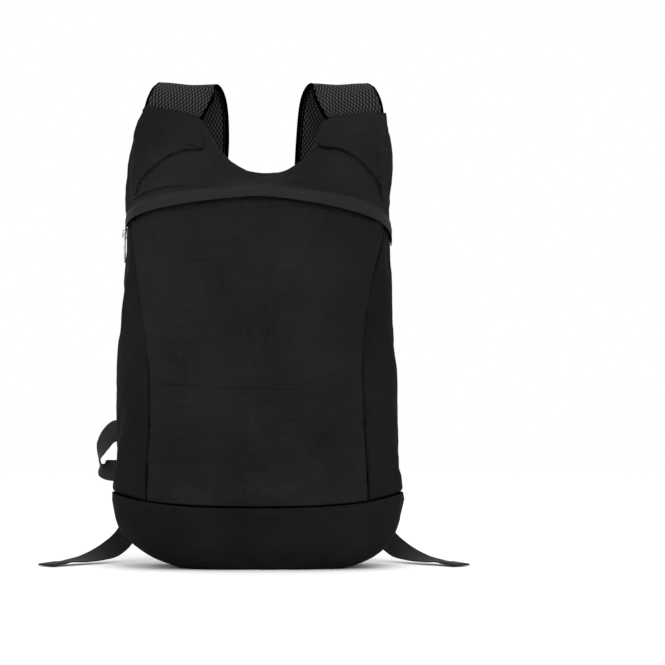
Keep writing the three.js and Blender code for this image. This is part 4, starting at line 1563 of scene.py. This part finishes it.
@dataclass
class Studio:
    """Camera, pale sweep and soft lights."""

    distance: float = VIEW_DISTANCE
    eye: float = VIEW_HEIGHT
    sensor: float = 36.0
    lens: float = 88.27
    shift_x: float = 0.1128
    shift_y: float = 0.1556

    def camera(self) -> None:
        """The camera looks level along +Y, a little above the floor."""
        data = bpy.data.cameras.new("camera")
        data.lens = self.lens
        data.sensor_width = self.sensor
        data.shift_x = self.shift_x
        data.shift_y = self.shift_y
        data.clip_end = 50
        camera = bpy.data.objects.new("camera", data)
        camera.location = (0, -self.distance, self.eye)
        camera.rotation_euler = (math.pi / 2, 0, 0)
        bpy.context.scene.collection.objects.link(camera)
        bpy.context.scene.camera = camera

    def sweep(self) -> None:
        """A wide round floor that the whole scene stands on."""
        mesh = bmesh.new()
        bmesh.ops.create_circle(mesh, cap_ends=True, radius=14, segments=96)
        floor = new_object("studio_floor", mesh)
        floor.data.materials.append(Paper().material())

    def light(self, name: str, place: Vector, size: float, power: float, gloss: bool = True) -> None:
        """One soft square light aimed at the bag, with or without a mirrored glow."""
        data = bpy.data.lights.new(name, "AREA")
        data.shape = "SQUARE"
        data.size = size
        data.energy = power
        lamp = bpy.data.objects.new(name, data)
        lamp.location = place
        lamp.visible_glossy = gloss
        aim = Vector((0, 0, 0.22)) - place
        lamp.rotation_euler = aim.to_track_quat("-Z", "Y").to_euler()
        bpy.context.scene.collection.objects.link(lamp)

    def build(self) -> None:
        """Sets up the studio."""
        self.camera()
        self.sweep()
        self.light("key", Vector((0.5, -1.7, 1.5)), size=1.0, power=12)
        self.light("fill", Vector((-0.9, -1.6, 1.0)), size=1.0, power=4)
        self.light("top", Vector((0.1, -0.2, 2.0)), size=1.2, power=9, gloss=False)
        world = bpy.data.worlds.new("studio_air")
        world.use_nodes = True
        background = world.node_tree.nodes["Background"]
        background.inputs["Color"].default_value = (1, 1, 1, 1)
        background.inputs["Strength"].default_value = 1.0
        bpy.context.scene.world = world
        bpy.context.scene.view_settings.view_transform = "Standard"


def main() -> None:
    """Builds the studio and each part of the bag in order."""
    logging.basicConfig(level=logging.INFO, format="%(message)s")
    Studio().build()
    cloth = Polyester("polyester", dark=0.0062, light=0.0142).material()
    # A darker copy of the same polyester for the side panels and the base: painted shade, since the sides
    # take less of the frontal light than the front.
    painted_shade_cloth = Polyester("painted_shade_polyester", dark=0.0046, light=0.0106).material()
    flap = Polyester("flap_cloth", dark=0.0075, light=0.0155, roughness=0.55, gloss=0.07)
    tape, webbing, thread = Tape().material(), Webbing().material(), Thread().material()
    plastic, nickel = Moulded().material(), Nickel().material()
    mesh_outer, mesh_inner = AirMesh(Face.OUTER).material(), AirMesh(Face.INNER).material()
    BagBody(cloth, painted_shade_cloth, thread).build()
    Zip(flap.material(), nickel, thread).build()
    for side in Side:
        Harness(side, mesh_outer, mesh_inner, tape, webbing, plastic, thread).build()
    SideLoop(webbing).build()


if __name__ == "__main__":
    main()
